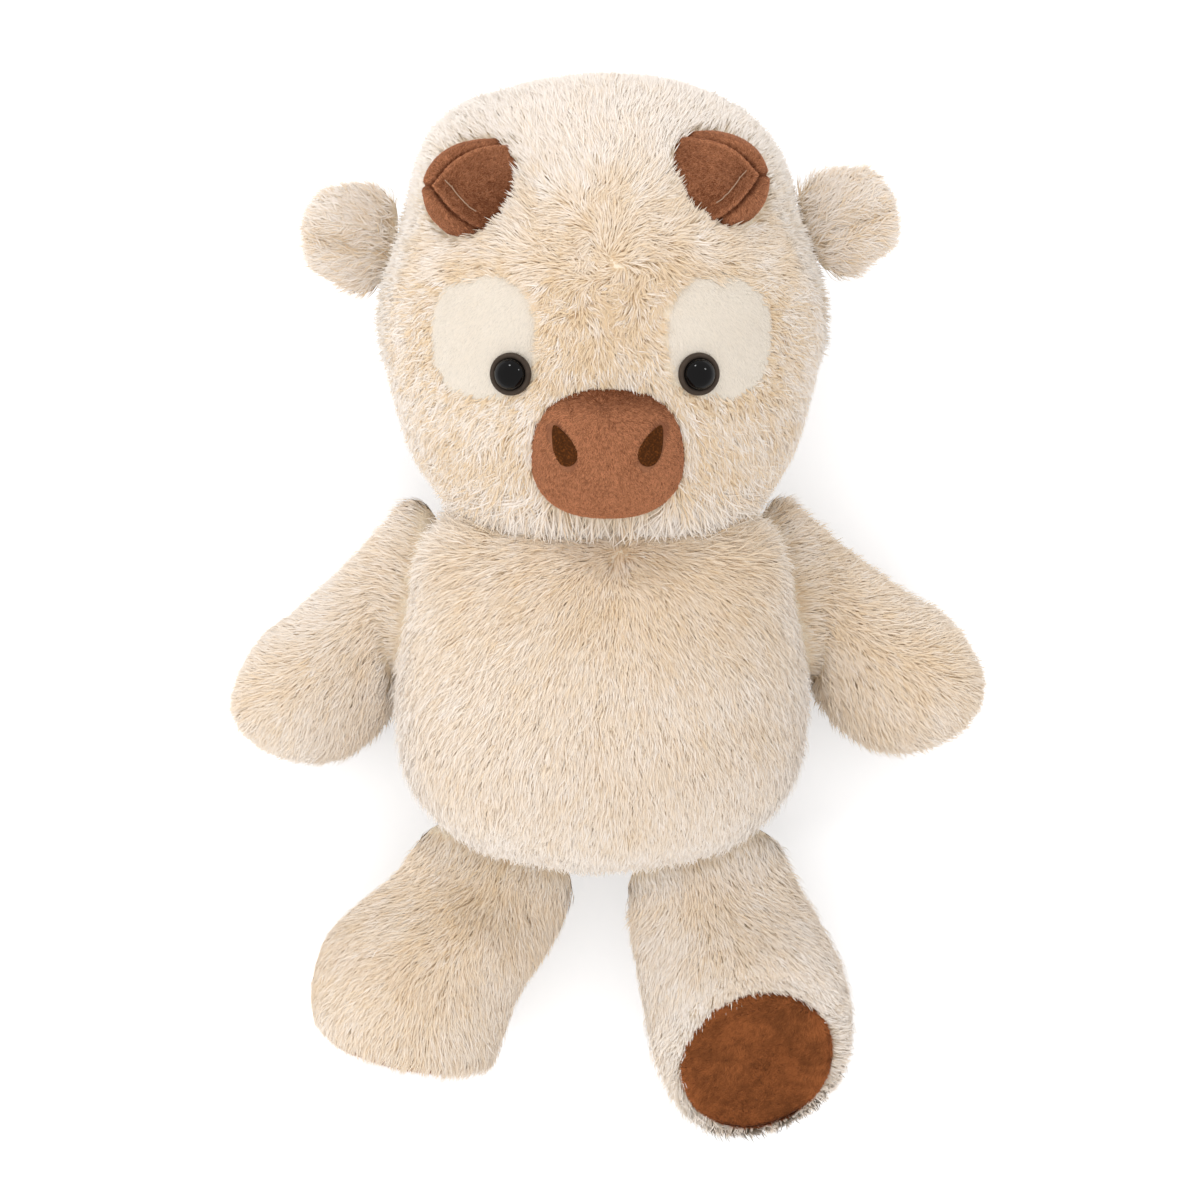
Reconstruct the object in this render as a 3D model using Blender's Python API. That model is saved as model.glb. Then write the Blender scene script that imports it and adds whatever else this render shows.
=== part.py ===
"""A plush cow lying on its back, from fur fabric covers, fillings, velour trim and safety eyes.

Metres, +Z up. The toy lies face up on the floor at z = 0 with its head towards +Y, and its own left is at +X.
The origin is below the middle of the toy. Every stuffed form is a surface swept from an outline seen from above
and a half depth. A cover is that form with a hollow, open at its seam, and its filling is the hollow's shape.
"""

import math

import bmesh
import bpy
import numpy as np
from mathutils import Vector

# Fabrics and clearances
COVER = 0.003  # fur fabric with the packed foot of its pile
VELOUR = 0.002
GAP = 0.0003  # between pieces that touch
SWING_GAP = 0.0005  # round a sewn root that swings, and under the head that turns
FLOOR_CUT = 0.0005  # how deep a form that rests on the floor is cut flat
OVERRUN = 0.02  # how far a cutter reaches past what it cuts
FULLNESS = 2.3  # power of a stuffed form's bulge, where 2 is a spheroid

# Head
HEAD_RADIUS = 0.0745
HEAD_HALF_DEPTH = 0.058
CHIN_Y = 0.0182  # the lowest point of the chin
MUZZLE_DROP = 0.014  # how far the front of the face sits below the head's middle
HEAD_SHARES = (
    0.965, 0.96, 1.03, 1.02, 1.0, 1.03, 1.095, 1.01,
    1.01, 1.025, 1.115, 1.14, 1.105, 1.13, 1.095, 0.985,
)  # radius of the outline, counter-clockwise from +X

# Body
BODY_X = -0.002
BODY_Y = -0.035
BODY_HALF_WIDTH = 0.0665
BODY_HALF_DEPTH = 0.053
BODY_SHARES = (
    1.0, 1.045, 1.165, 1.17, 1.10, 1.17, 1.165, 1.045,
    1.0, 1.0, 0.925, 0.82, 0.79, 0.82, 0.925, 1.0,
)

# Neck
NECK_RADIUS = 0.018  # of the opening in both covers, inside the neck seam
NECK_REACH = 0.034  # how far up the head its round underside goes
NECK_DEPTH = 0.009  # of the opening to each side of the seam

# Arms, in the frame of their seam: outwards, and along the seam towards the head
ARM_REACH = 0.053
ARM_SEAM = 0.027  # half the length of the seam
ARM_HALF_DEPTH = 0.0265
ARM_ROOT = 0.012  # radius of the pinched root
ARM_SEAM_Y = 0.002  # of the seam's middle
ARM_SEAM_Z = 0.036
ARM_SEAM_OUT = 0.0035  # how far the seam stands out of the body's side
ARM_TURN = {"left": 14.0, "right": 7.0}  # degrees that its outward direction leans towards the head
ARM_TOP_SHARES = (
    (0.0, 1.0), (0.14, 0.78), (0.36, 0.34), (0.66, -0.28), (0.85, -0.58), (0.98, -1.0), (1.05, -1.38),
)  # of its edge towards the head: outwards in reaches, and along the seam in halves of it
ARM_LOW_SHARES = (
    (0.0, -1.0), (0.03, -1.35), (0.15, -1.75), (0.31, -2.05), (0.52, -2.2), (0.74, -2.2), (0.88, -2.05),
)  # of its edge towards the feet
ARM_DEPTH_SHARES = (0.0, 0.06, 0.4, 0.85, 1.0, 1.0, 1.0)  # from the root's radius to the half depth
ARM_BLUNT = 5.0  # power that closes the tip

# Legs, in the frame of their seam: outwards, and along the seam away from the other leg
LEG_REACH = {"left": 0.092, "right": 0.082}
LEG_SEAM = 0.024
LEG_HALF_WIDTH = 0.0335
LEG_HALF_DEPTH = 0.031
LEG_ROOT = 0.011
LEG_SEAM_X = 0.0325  # of the seam's middle, from the body's middle
LEG_SEAM_Z = 0.036
LEG_SEAM_OUT = 0.004
LEG_TURN = {"left": 16.5, "right": 19.0}  # degrees the seam's outward direction points away from straight down
LEG_WIDTH_SHARES = (0.0, 0.35, 0.7, 0.95, 1.0, 1.0, 1.0)
LEG_DEPTH_SHARES = (0.0, 0.1, 0.55, 0.95, 1.0, 1.0, 1.0)
LEG_BEND_SHARES = {
    "left": (0.0, 0.0, 0.03, 0.05, 0.05, 0.01, -0.04),
    "right": (0.0, 0.1, 0.27, 0.42, 0.45, 0.41, 0.36),
}  # sideways drift of the middle line, as a share of the half width
LEG_BLUNT = {"left": 6.0, "right": 10.0}  # power that closes the end

# Soles
SOLE_RADIUS = 0.026
SOLE_BULGE = 0.0015
SOLE_WINDOW = 0.005  # depth of the opening behind each pad
SOLE_PROUD = 0.0005  # how far the pad stands proud of the cover
# The middle of each sole, outwards in reaches, along the seam in half widths and forward in half depths
SOLE_PLACE_SHARES = {"left": (0.735, 0.0, 0.4), "right": (0.85, 0.345, 0.0)}
# The direction that each sole faces, in the same frame
SOLE_DIRECTION_SHARES = {"left": (0.425, 0.10, 0.895), "right": (1.0, -0.12, -0.05)}

# Ears, in the frame of their seam
EAR_REACH = 0.028
EAR_SEAM = 0.0125
EAR_HALF_DEPTH = 0.0085
EAR_ROOT = 0.0045
EAR_SEAM_OUT = 0.0015
EAR_SEAM_Z = 0.054
EAR_AT = {"left": 18.5, "right": 165.0}  # degrees round the head's outline
EAR_TURN = {"left": 20.0, "right": 172.0}  # degrees of the ear's outward direction
EAR_TOP_SHARES = ((0.0, 1.0), (0.2, 1.15), (0.5, 1.35), (0.8, 1.4), (1.0, 1.3))
EAR_LOW_SHARES = ((0.0, -1.0), (0.2, -1.2), (0.5, -1.35), (0.8, -1.35), (1.0, -1.2))
EAR_DEPTH_SHARES = (0.0, 0.6, 1.0, 1.0, 1.0)
EAR_BLUNT = 4.0

# Horns
HORN_RADIUS = 0.0172
HORN_LENGTH = 0.034
HORN_SIDE_POWERS = (0.8, 0.6)  # that round the tip off: along the horn, and across it
HORN_X = {"left": 0.0265, "right": -0.034}  # of the middle of its foot
HORN_Y = {"left": 0.137, "right": 0.1345}
HORN_SUNK = 0.0227  # how far below the face its foot is
HORN_AXIS_SHARES = {"left": (0.56, 0.08, 0.82), "right": (-0.57, 0.06, 0.82)}  # along X, Y and Z

# Snout
SNOUT_X = 0.0
SNOUT_Y = 0.0508
SNOUT_HALF_WIDTH = 0.0262
SNOUT_HALF_HEIGHT = 0.0229
SNOUT_PROUD = 0.0135  # how far its middle stands out of the face
SNOUT_SQUARE = 2.4  # power of the outline and of the bulge

# Nostrils
NOSTRIL_X = 0.0148
NOSTRIL_RISE = 0.0006  # of their middle above the snout's
NOSTRIL_LENGTH = 0.0145
NOSTRIL_WIDTH = 0.0042
NOSTRIL_LEAN = 23.0  # degrees
NOSTRIL_TAPER = 0.45  # share of its width lost at the upper end, and gained at the lower
STITCHING = 0.0009  # thickness of the embroidery

# Eye panels
PANEL_X = {"left": 0.0362, "right": -0.0402}
PANEL_Y = 0.0875
PANEL_HALF_WIDTH = 0.0175
PANEL_HALF_HEIGHT = 0.0212
PANEL_SQUARE = 2.5

# Safety eyes
EYE_X = {"left": 0.0297, "right": -0.0316}
EYE_Y = 0.075
EYE_RADIUS = 0.0071
EYE_HEIGHT = 0.0058
EYE_RIM = 0.0012  # height of the rim's straight edge
EYE_SUNK = 0.0008
POST_RADIUS = 0.0022
POST_LENGTH = 0.011
WASHER_RADIUS = 0.0072
WASHER_THICKNESS = 0.0014
WASHER_BACK = 0.0048  # how far behind the panel's face the washer starts

CREAM = (0.87, 0.76, 0.62)
PALE = (0.90, 0.83, 0.70)
BROWN = (0.31, 0.13, 0.065)
DARK_BROWN = (0.16, 0.06, 0.035)
NOSTRIL_BROWN = (0.09, 0.02, 0.008)
BLACK = (0.012, 0.010, 0.010)
WHITE = (0.85, 0.85, 0.83)

SIDES = ("left", "right")
OUTWARDS = {"left": 1.0, "right": -1.0}


def clear_scene():
    for item in list(bpy.data.objects):
        bpy.data.objects.remove(item, do_unlink=True)


def material(name, colour, roughness, metallic=0.0):
    made = bpy.data.materials.get(name) or bpy.data.materials.new(name)
    made.use_nodes = True
    made.diffuse_color = (*colour, 1.0)
    shader = made.node_tree.nodes["Principled BSDF"]
    shader.inputs["Base Color"].default_value = (*colour, 1.0)
    shader.inputs["Roughness"].default_value = roughness
    shader.inputs["Metallic"].default_value = metallic
    return made


def grid_mesh(rings, first, last):
    """Points and faces of a closed skin: rings of points from one pole to the other, turning so that it faces out."""
    count, around = rings.shape[:2]
    points = np.vstack([rings.reshape(-1, 3), [first], [last]])
    faces = []
    for ring in range(count - 1):
        for k in range(around):
            a, b = ring * around + k, ring * around + (k + 1) % around
            faces.append((a, b, b + around))
            faces.append((a, b + around, a + around))
    for k in range(around):
        after = (k + 1) % around
        faces.append((after, k, count * around))
        faces.append(((count - 1) * around + k, (count - 1) * around + after, count * around + 1))
    return points, faces


def make_object(name, points, faces, look=None, origin=None, flat=False):
    """An object from world points. Its origin is moved to origin, and a form that rests is cut flat at the floor."""
    origin = Vector(origin) if origin is not None else Vector((0, 0, 0))
    mesh = bpy.data.meshes.new(name)
    mesh.from_pydata([tuple(p) for p in points], [], faces)
    work = bmesh.new()
    work.from_mesh(mesh)
    if flat:
        cut = bmesh.ops.bisect_plane(
            work, geom=work.verts[:] + work.edges[:] + work.faces[:], plane_co=(0, 0, 0), plane_no=(0, 0, -1),
            clear_outer=True,
        )
        rim = [item for item in cut["geom_cut"] if isinstance(item, bmesh.types.BMEdge)]
        if rim:
            bmesh.ops.edgenet_fill(work, edges=rim)
    bmesh.ops.recalc_face_normals(work, faces=work.faces[:])
    bmesh.ops.translate(work, verts=work.verts[:], vec=-origin)
    work.to_mesh(mesh)
    work.free()
    made = bpy.data.objects.new(name, mesh)
    made.location = origin
    bpy.context.scene.collection.objects.link(made)
    if look:
        mesh.materials.append(look)
        mesh.shade_smooth()
        mesh.set_sharp_from_angle(angle=math.radians(40))
    else:
        made.hide_render = True
        made.display_type = "WIRE"
    return made


def combine(target, cutter, operation="DIFFERENCE"):
    modifier = target.modifiers.new(cutter.name, "BOOLEAN")
    modifier.operation = operation
    modifier.object = cutter
    modifier.solver = "EXACT"
    return target


def closed_spline(values, angles):
    """A smooth closed curve through values that are spaced evenly round the circle, read at angles."""
    values = np.asarray(values, float)
    place = np.mod(angles, 2 * np.pi) / (2 * np.pi) * len(values)
    start = np.floor(place).astype(int)
    part = (place - start)[:, None] if values.ndim > 1 else place - start
    a, b, c, d = (values[(start + k) % len(values)] for k in (-1, 0, 1, 2))
    return b + 0.5 * part * (c - a + part * (2 * a - 5 * b + 4 * c - d + part * (3 * (b - c) + d - a)))


def open_spline(values, places):
    """A smooth curve through values at 0, 1, 2 and so on, read at places."""
    values = np.asarray(values, float)
    ends = np.concatenate([[2 * values[0] - values[1]], values, [2 * values[-1] - values[-2]]])
    start = np.clip(np.floor(places).astype(int), 0, len(values) - 2)
    part = (places - start)[:, None] if values.ndim > 1 else places - start
    a, b, c, d = (ends[start + k] for k in range(4))
    return b + 0.5 * part * (c - a + part * (2 * a - 5 * b + 4 * c - d + part * (3 * (b - c) + d - a)))


def outline(shares, radius, grow, angles):
    """Points of a closed outline round (0, 0): each share times radius, and grow further out."""
    reach = closed_spline(shares, angles) * radius + grow
    return np.stack([reach * np.cos(angles), reach * np.sin(angles)], axis=-1)


def cushion(shares, radius, centre, half_depth, grow, drop, around, levels):
    """An outline swollen to both sides: at height h it is scaled by (1 - |h|^FULLNESS)^(1/FULLNESS), and above the
    middle it sinks by drop times h squared."""
    angles = np.linspace(0, 2 * np.pi, around, endpoint=False)
    tilt = np.linspace(-np.pi / 2, np.pi / 2, levels + 2)[1:-1]
    scale = np.cos(tilt) ** (2 / FULLNESS)
    height = np.sign(tilt) * np.abs(np.sin(tilt)) ** (2 / FULLNESS)
    flat = outline(shares, radius, grow, angles)
    rings = np.empty((levels, around, 3))
    rings[:, :, :2] = scale[:, None, None] * flat
    rings[:, :, 1] -= (drop * np.clip(height, 0, None) ** 2)[:, None]
    rings[:, :, 2] = (height * (half_depth + grow))[:, None]
    centre = np.asarray(centre)
    low = centre - (0, 0, half_depth + grow)
    high = centre + (0, -drop, half_depth + grow)
    return grid_mesh(rings + centre, low, high)


def head_centre():
    return np.array([0.0, CHIN_Y + HEAD_SHARES[12] * HEAD_RADIUS, HEAD_HALF_DEPTH - FLOOR_CUT])


def body_centre():
    return np.array([BODY_X, BODY_Y, BODY_HALF_DEPTH - FLOOR_CUT])


def head_form(grow, around=28, levels=12):
    return cushion(HEAD_SHARES, HEAD_RADIUS, head_centre(), HEAD_HALF_DEPTH, grow, MUZZLE_DROP, around, levels)


def body_form(grow, around=28, levels=11):
    return cushion(BODY_SHARES, BODY_HALF_WIDTH, body_centre(), BODY_HALF_DEPTH, grow, 0.0, around, levels)


def neck_axis():
    """A point at the chin's level on the line that the head turns about, which runs along Y."""
    return np.array([0.0, CHIN_Y, HEAD_HALF_DEPTH - FLOOR_CUT])


def underside_radius(rise):
    """How far the head reaches from the neck axis below each rise over the chin, whichever way it is turned."""
    points = np.array(head_form(0.0, 72, 40)[0]) - neck_axis()
    reach = np.hypot(points[:, 0], points[:, 2])
    return np.array([reach[points[:, 1] <= level].max(initial=0.0) for level in rise])


def neck_seat(grow, around=32, levels=9):
    """The head's underside turned about the neck axis, as a bowl that everything below the head is cut by."""
    lowest = min(point[1] for point in head_form(0.0, 72, 40)[0]) - CHIN_Y
    rise = lowest + (NECK_REACH - lowest) * np.linspace(0, 1, levels + 1)[1:] ** 2
    radius = underside_radius(rise) + grow
    angles = np.linspace(0, 2 * np.pi, around, endpoint=False)
    rings = np.empty((levels + 1, around, 3))
    rings[:-1, :, 0] = radius[:, None] * np.cos(angles)
    rings[:-1, :, 1] = (rise - grow)[:, None]
    rings[:-1, :, 2] = radius[:, None] * np.sin(angles)
    rings[-1] = rings[-2] + (0, NECK_REACH, 0)
    axis = neck_axis()
    return grid_mesh(rings + axis, axis + (0, lowest - grow, 0), axis + (0, 2 * NECK_REACH - grow, 0))


class Seam:
    """The frame of a sewn root: out points away from the body, along runs along the seam, front is the limb's face."""

    def __init__(self, place, turn, droop=0.0):
        flat = Vector((math.cos(turn), math.sin(turn), 0.0))
        self.place = Vector(place)
        self.out = Vector((flat.x * math.cos(droop), flat.y * math.cos(droop), -math.sin(droop)))
        self.along = Vector((-math.sin(turn), math.cos(turn), 0.0))
        self.front = self.out.cross(self.along)
        self.flat_turn = turn

    def world(self, local):
        frame = np.array([self.out, self.along, self.front])
        return local @ frame + np.array(self.place)


def lobe(middle, way, wide, deep, close, root, seam_half, grow, around=18, behind=3):
    """A stuffed limb in its seam's frame. Its root is a spheroid about the seam, so that it turns in its pocket.
    From there each cross section is an ellipse on the middle line, wide along way and deep across, times close."""
    angles = np.linspace(0, 2 * np.pi, around, endpoint=False)
    start = middle[0]
    ahead = np.gradient(middle, axis=0)
    ahead /= np.linalg.norm(ahead, axis=1)[:, None]
    middle = middle + ahead * (grow * (1 - close**2))[:, None]
    back = np.linspace(-np.pi / 2, 0, behind + 2)[1:-1]
    rings = np.zeros((behind + len(middle) - 1, around, 3))
    rings[:behind, :, 0] = ((root + grow) * np.sin(back))[:, None]
    rings[:behind, :, 1] = start[1] + ((seam_half + grow) * np.cos(back))[:, None] * np.cos(angles)
    rings[:behind, :, 2] = ((root + grow) * np.cos(back))[:, None] * np.sin(angles)
    spread = ((wide + grow) * close)[:-1, None, None] * way[:-1, None, :] * np.cos(angles)[None, :, None]
    rings[behind:, :, :2] = middle[:-1, None, :] + spread
    rings[behind:, :, 2] = ((deep + grow) * close)[:-1, None] * np.sin(angles)
    return rings, np.array([-(root + grow), start[1], 0.0]), np.array([*middle[-1], 0.0])


def tip_places(count):
    """Places along a limb from 0 to 1, closer together towards its round tip."""
    return np.sin(np.linspace(0, np.pi / 2, count))


def limb_from_edges(top, low, depths, blunt, reach, seam_half, half_depth, root, grow, mirror, count=10, around=18):
    """A lobe between two edges, which are given in shares of its reach and of half its seam."""
    size = np.array([reach, seam_half])
    places = tip_places(count)
    upper = open_spline(np.array(top) * size, places * (len(top) - 1))
    lower = open_spline(np.array(low) * size, places * (len(low) - 1))
    middle = (upper + lower) / 2
    half = (upper - lower) / 2
    deep = root + (half_depth - root) * open_spline(depths, places * (len(depths) - 1))
    if mirror:
        middle[:, 1] *= -1
        half[:, 0] *= -1
    wide = np.linalg.norm(half, axis=1)
    close = np.sqrt(1 - places**blunt)
    return lobe(middle, half / wide[:, None], wide, deep, close, root, seam_half, grow, around)


def seam_point(shares, radius, centre, turn, out):
    """The place on an outline where its own direction from the centre is turn, moved out of it."""
    spot = outline(shares, radius, out, np.array([turn]))[0]
    return centre[:2] + spot


def droop_to_floor(build, place, turn):
    """The angle below level at which the limb that build makes just meets the floor, to the depth of its flat."""
    low, high = 0.0, math.radians(50)
    for _ in range(30):
        droop = (low + high) / 2
        rings, _, tip = build(0.0)
        seam = Seam(place, turn, droop)
        lowest = seam.world(np.vstack([rings.reshape(-1, 3), [tip]]))[:, 2].min()
        if lowest > -FLOOR_CUT:
            low = droop
        else:
            high = droop
    return low


def place_on_side(level, side):
    """The body's outline point at a height along Y on one side, as an offset from the body's middle."""
    angles = np.linspace(-0.5 * np.pi, 0.5 * np.pi, 181)
    if side == "right":
        angles = np.pi - angles
    ring = outline(BODY_SHARES, BODY_HALF_WIDTH, 0.0, angles)
    return np.interp(level, ring[:, 1], ring[:, 0])


def arm_seam(side):
    sign = OUTWARDS[side]
    x = BODY_X + place_on_side(ARM_SEAM_Y - BODY_Y, side) + sign * ARM_SEAM_OUT
    turn = math.radians(ARM_TURN[side])
    turn = turn if side == "left" else math.pi - turn
    place = (x, ARM_SEAM_Y, ARM_SEAM_Z)
    return Seam(place, turn, droop_to_floor(lambda grow: arm_lobe(side, grow), place, turn))


def arm_lobe(side, grow, count=10, around=18):
    return limb_from_edges(
        ARM_TOP_SHARES, ARM_LOW_SHARES, ARM_DEPTH_SHARES, ARM_BLUNT, ARM_REACH, ARM_SEAM, ARM_HALF_DEPTH, ARM_ROOT, grow,
        side == "right", count, around,
    )


def leg_seam(side):
    sign = OUTWARDS[side]
    angles = np.linspace(-np.pi, 0, 181)
    ring = outline(BODY_SHARES, BODY_HALF_WIDTH, LEG_SEAM_OUT, angles)
    y = BODY_Y + np.interp(sign * LEG_SEAM_X, ring[:, 0], ring[:, 1])
    turn = -math.pi / 2 + sign * math.radians(LEG_TURN[side])
    place = (BODY_X + sign * LEG_SEAM_X, y, LEG_SEAM_Z)
    return Seam(place, turn, droop_to_floor(lambda grow: leg_lobe(side, grow), place, turn))


def leg_lobe(side, grow, count=10, around=18):
    """The leg's lobe, from shares along its middle line. Its seam frame's along direction points to +X on the left."""
    places = tip_places(count)
    read = places * (len(LEG_WIDTH_SHARES) - 1)
    wide = LEG_SEAM + (LEG_HALF_WIDTH - LEG_SEAM) * open_spline(LEG_WIDTH_SHARES, read)
    deep = LEG_ROOT + (LEG_HALF_DEPTH - LEG_ROOT) * open_spline(LEG_DEPTH_SHARES, read)
    drift = OUTWARDS[side] * LEG_HALF_WIDTH * open_spline(LEG_BEND_SHARES[side], read)
    middle = np.stack([LEG_REACH[side] * places, drift], axis=-1)
    way = np.stack([np.zeros(count), np.ones(count)], axis=-1)
    close = np.sqrt(1 - places ** LEG_BLUNT[side])
    return lobe(middle, way, wide, deep, close, LEG_ROOT, LEG_SEAM, grow, around)


def ear_seam(side):
    at = math.radians(EAR_AT[side])
    x, y = seam_point(HEAD_SHARES, HEAD_RADIUS, head_centre(), at, EAR_SEAM_OUT)
    return Seam((x, y, EAR_SEAM_Z), math.radians(EAR_TURN[side]))


def ear_lobe(side, grow):
    return limb_from_edges(
        EAR_TOP_SHARES, EAR_LOW_SHARES, EAR_DEPTH_SHARES, EAR_BLUNT, EAR_REACH, EAR_SEAM, EAR_HALF_DEPTH, EAR_ROOT, grow,
        side == "right", 8, 14,
    )


def seam_mesh(seam, lobe_parts):
    rings, first, last = lobe_parts
    return grid_mesh(seam.world(rings), seam.world(first), seam.world(last))


def turned(profile, foot, axis, around):
    """A profile of (distance along the axis, radius) turned about axis from foot, with a pole at each end."""
    axis = Vector(axis).normalized()
    across = axis.orthogonal().normalized()
    beside = axis.cross(across)
    angles = np.linspace(0, 2 * np.pi, around, endpoint=False)
    circle = np.cos(angles)[:, None] * np.array(across) + np.sin(angles)[:, None] * np.array(beside)
    profile = np.asarray(profile)
    foot = np.array(foot)
    rings = foot + profile[1:-1, 0][:, None, None] * np.array(axis) + profile[1:-1, 1][:, None, None] * circle
    return grid_mesh(rings, foot + profile[0, 0] * np.array(axis), foot + profile[-1, 0] * np.array(axis))


def rod(foot, axis, start, end, radius, around=24):
    return turned(((start, 0), (start, radius), (end, radius), (end, 0)), foot, axis, around)


def prism(points, low, high):
    """An outline of (x, y) points as a column from low to high."""
    column = np.empty((2, len(points), 3))
    column[:, :, :2] = points
    column[0, :, 2], column[1, :, 2] = low, high
    middle = points.mean(axis=0)
    return grid_mesh(column, (*middle, low), (*middle, high))


def rounded(half_width, half_height, square, grow, around):
    """A superellipse outline: |x/a|^square + |y/b|^square = 1."""
    angles = np.linspace(0, 2 * np.pi, around, endpoint=False)
    cos, sin = np.cos(angles), np.sin(angles)
    x = np.sign(cos) * np.abs(cos) ** (2 / square) * (half_width + grow)
    y = np.sign(sin) * np.abs(sin) ** (2 / square) * (half_height + grow)
    return np.stack([x, y], axis=-1)


def face_height(x, y):
    """Height of the front of the head's form over (x, y), found by halving."""
    centre = head_centre()
    low, high = 0.0, 1.0
    for _ in range(40):
        rise = (low + high) / 2
        scale = (1 - rise**FULLNESS) ** (1 / FULLNESS)
        dx, dy = x - centre[0], y - centre[1] + MUZZLE_DROP * rise**2
        reach = closed_spline(HEAD_SHARES, np.array([math.atan2(dy, dx)]))[0] * HEAD_RADIUS * scale
        if math.hypot(dx, dy) < reach:
            low = rise
        else:
            high = rise
    return centre[2] + HEAD_HALF_DEPTH * low


def face_normal(x, y, step=GAP):
    slope_x = (face_height(x + step, y) - face_height(x - step, y)) / (2 * step)
    slope_y = (face_height(x, y + step) - face_height(x, y - step)) / (2 * step)
    return Vector((-slope_x, -slope_y, 1.0)).normalized()


def make_body(fur, filling, cutters):
    """The body's cover, with slots for the limbs' roots and the neck opening, and its filling."""
    pocket_names = ("left_arm", "right_arm", "left_leg", "right_leg")
    cover = make_object("body_cover", *body_form(0.0), fur, body_centre(), flat=True)
    hollow = make_object("body_hollow", *body_form(-COVER, 22, 10))
    combine(cover, hollow)
    filled = make_object("body_stuffing", *body_form(-COVER - GAP, 22, 10), filling, body_centre())
    for made in (cover, filled):
        combine(made, cutters["neck_seat"] if made is cover else cutters["neck_seat_deep"])
        for name in pocket_names:
            combine(made, cutters[name])
    combine(cover, cutters["neck_opening"])


def make_head(fur, panel_fur, filling, cutters, eyes):
    """The head's cover, with its neck opening, ear slots and eye windows, the panels in those, and its filling."""
    origin = neck_axis()
    cover = make_object("head_cover", *head_form(0.0), fur, origin, flat=True)
    hollow = make_object("head_hollow", *head_form(-COVER, 22, 10))
    combine(cover, hollow)
    filled = make_object("head_stuffing", *head_form(-COVER - GAP, 22, 10), filling, origin)
    combine(cover, cutters["neck_opening"])
    for side in SIDES:
        combine(cover, cutters[side + "_ear"])
        combine(filled, cutters[side + "_ear"])
        low, high = head_centre()[2], head_centre()[2] + HEAD_HALF_DEPTH + OVERRUN
        middle = (PANEL_X[side], PANEL_Y)
        window = rounded(PANEL_HALF_WIDTH, PANEL_HALF_HEIGHT, PANEL_SQUARE, GAP, 24) + middle
        combine(cover, make_object(side + "_eye_window", *prism(window, low, high)))
        shape = rounded(PANEL_HALF_WIDTH, PANEL_HALF_HEIGHT, PANEL_SQUARE, 0.0, 24) + middle
        panel = make_object(side + "_eye_panel", *prism(shape, low, high), panel_fur, origin)
        face = make_object(side + "_panel_face", *head_form(0.0))
        combine(combine(panel, face, "INTERSECT"), hollow)
        for cutter in eyes[side]:
            for made in (panel, cover, filled):
                combine(made, cutter)


def eye_frame(side):
    x, y = EYE_X[side], EYE_Y
    return np.array([x, y, face_height(x, y)]), face_normal(x, y)


def make_eyes(plastic, washer_plastic):
    """Safety eyes: a rimmed dome on a post through the panel, locked by a washer behind it. Returns their cutters."""
    cutters = {}
    for side in SIDES:
        foot, axis = eye_frame(side)
        dome = [(EYE_RIM + (EYE_HEIGHT - EYE_RIM) * math.sin(a), EYE_RADIUS * math.cos(a))
                for a in np.linspace(0, math.pi / 2, 6)[:-1]]
        profile = [(-POST_LENGTH, 0), (-POST_LENGTH, POST_RADIUS), (-EYE_SUNK, POST_RADIUS), (-EYE_SUNK, EYE_RADIUS)]
        profile += dome + [(EYE_HEIGHT, 0)]
        make_object(side + "_eye", *turned(profile, foot, axis, 18), plastic, neck_axis())
        end = -WASHER_BACK - WASHER_THICKNESS
        washer = make_object(
            side + "_eye_washer", *rod(foot, axis, end, -WASHER_BACK, WASHER_RADIUS, 16), washer_plastic, neck_axis()
        )
        bore = make_object(side + "_post_bore", *rod(foot, axis, -POST_LENGTH - GAP, OVERRUN, POST_RADIUS + GAP, 12))
        combine(washer, bore)
        seat = rod(foot, axis, -EYE_SUNK - GAP, OVERRUN, EYE_RADIUS + GAP, 18)
        pocket = rod(foot, axis, end - GAP, -WASHER_BACK + GAP + COVER, WASHER_RADIUS + GAP, 16)
        cutters[side] = (bore, make_object(side + "_eye_seat", *seat), make_object(side + "_washer_pocket", *pocket))
    return cutters


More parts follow.
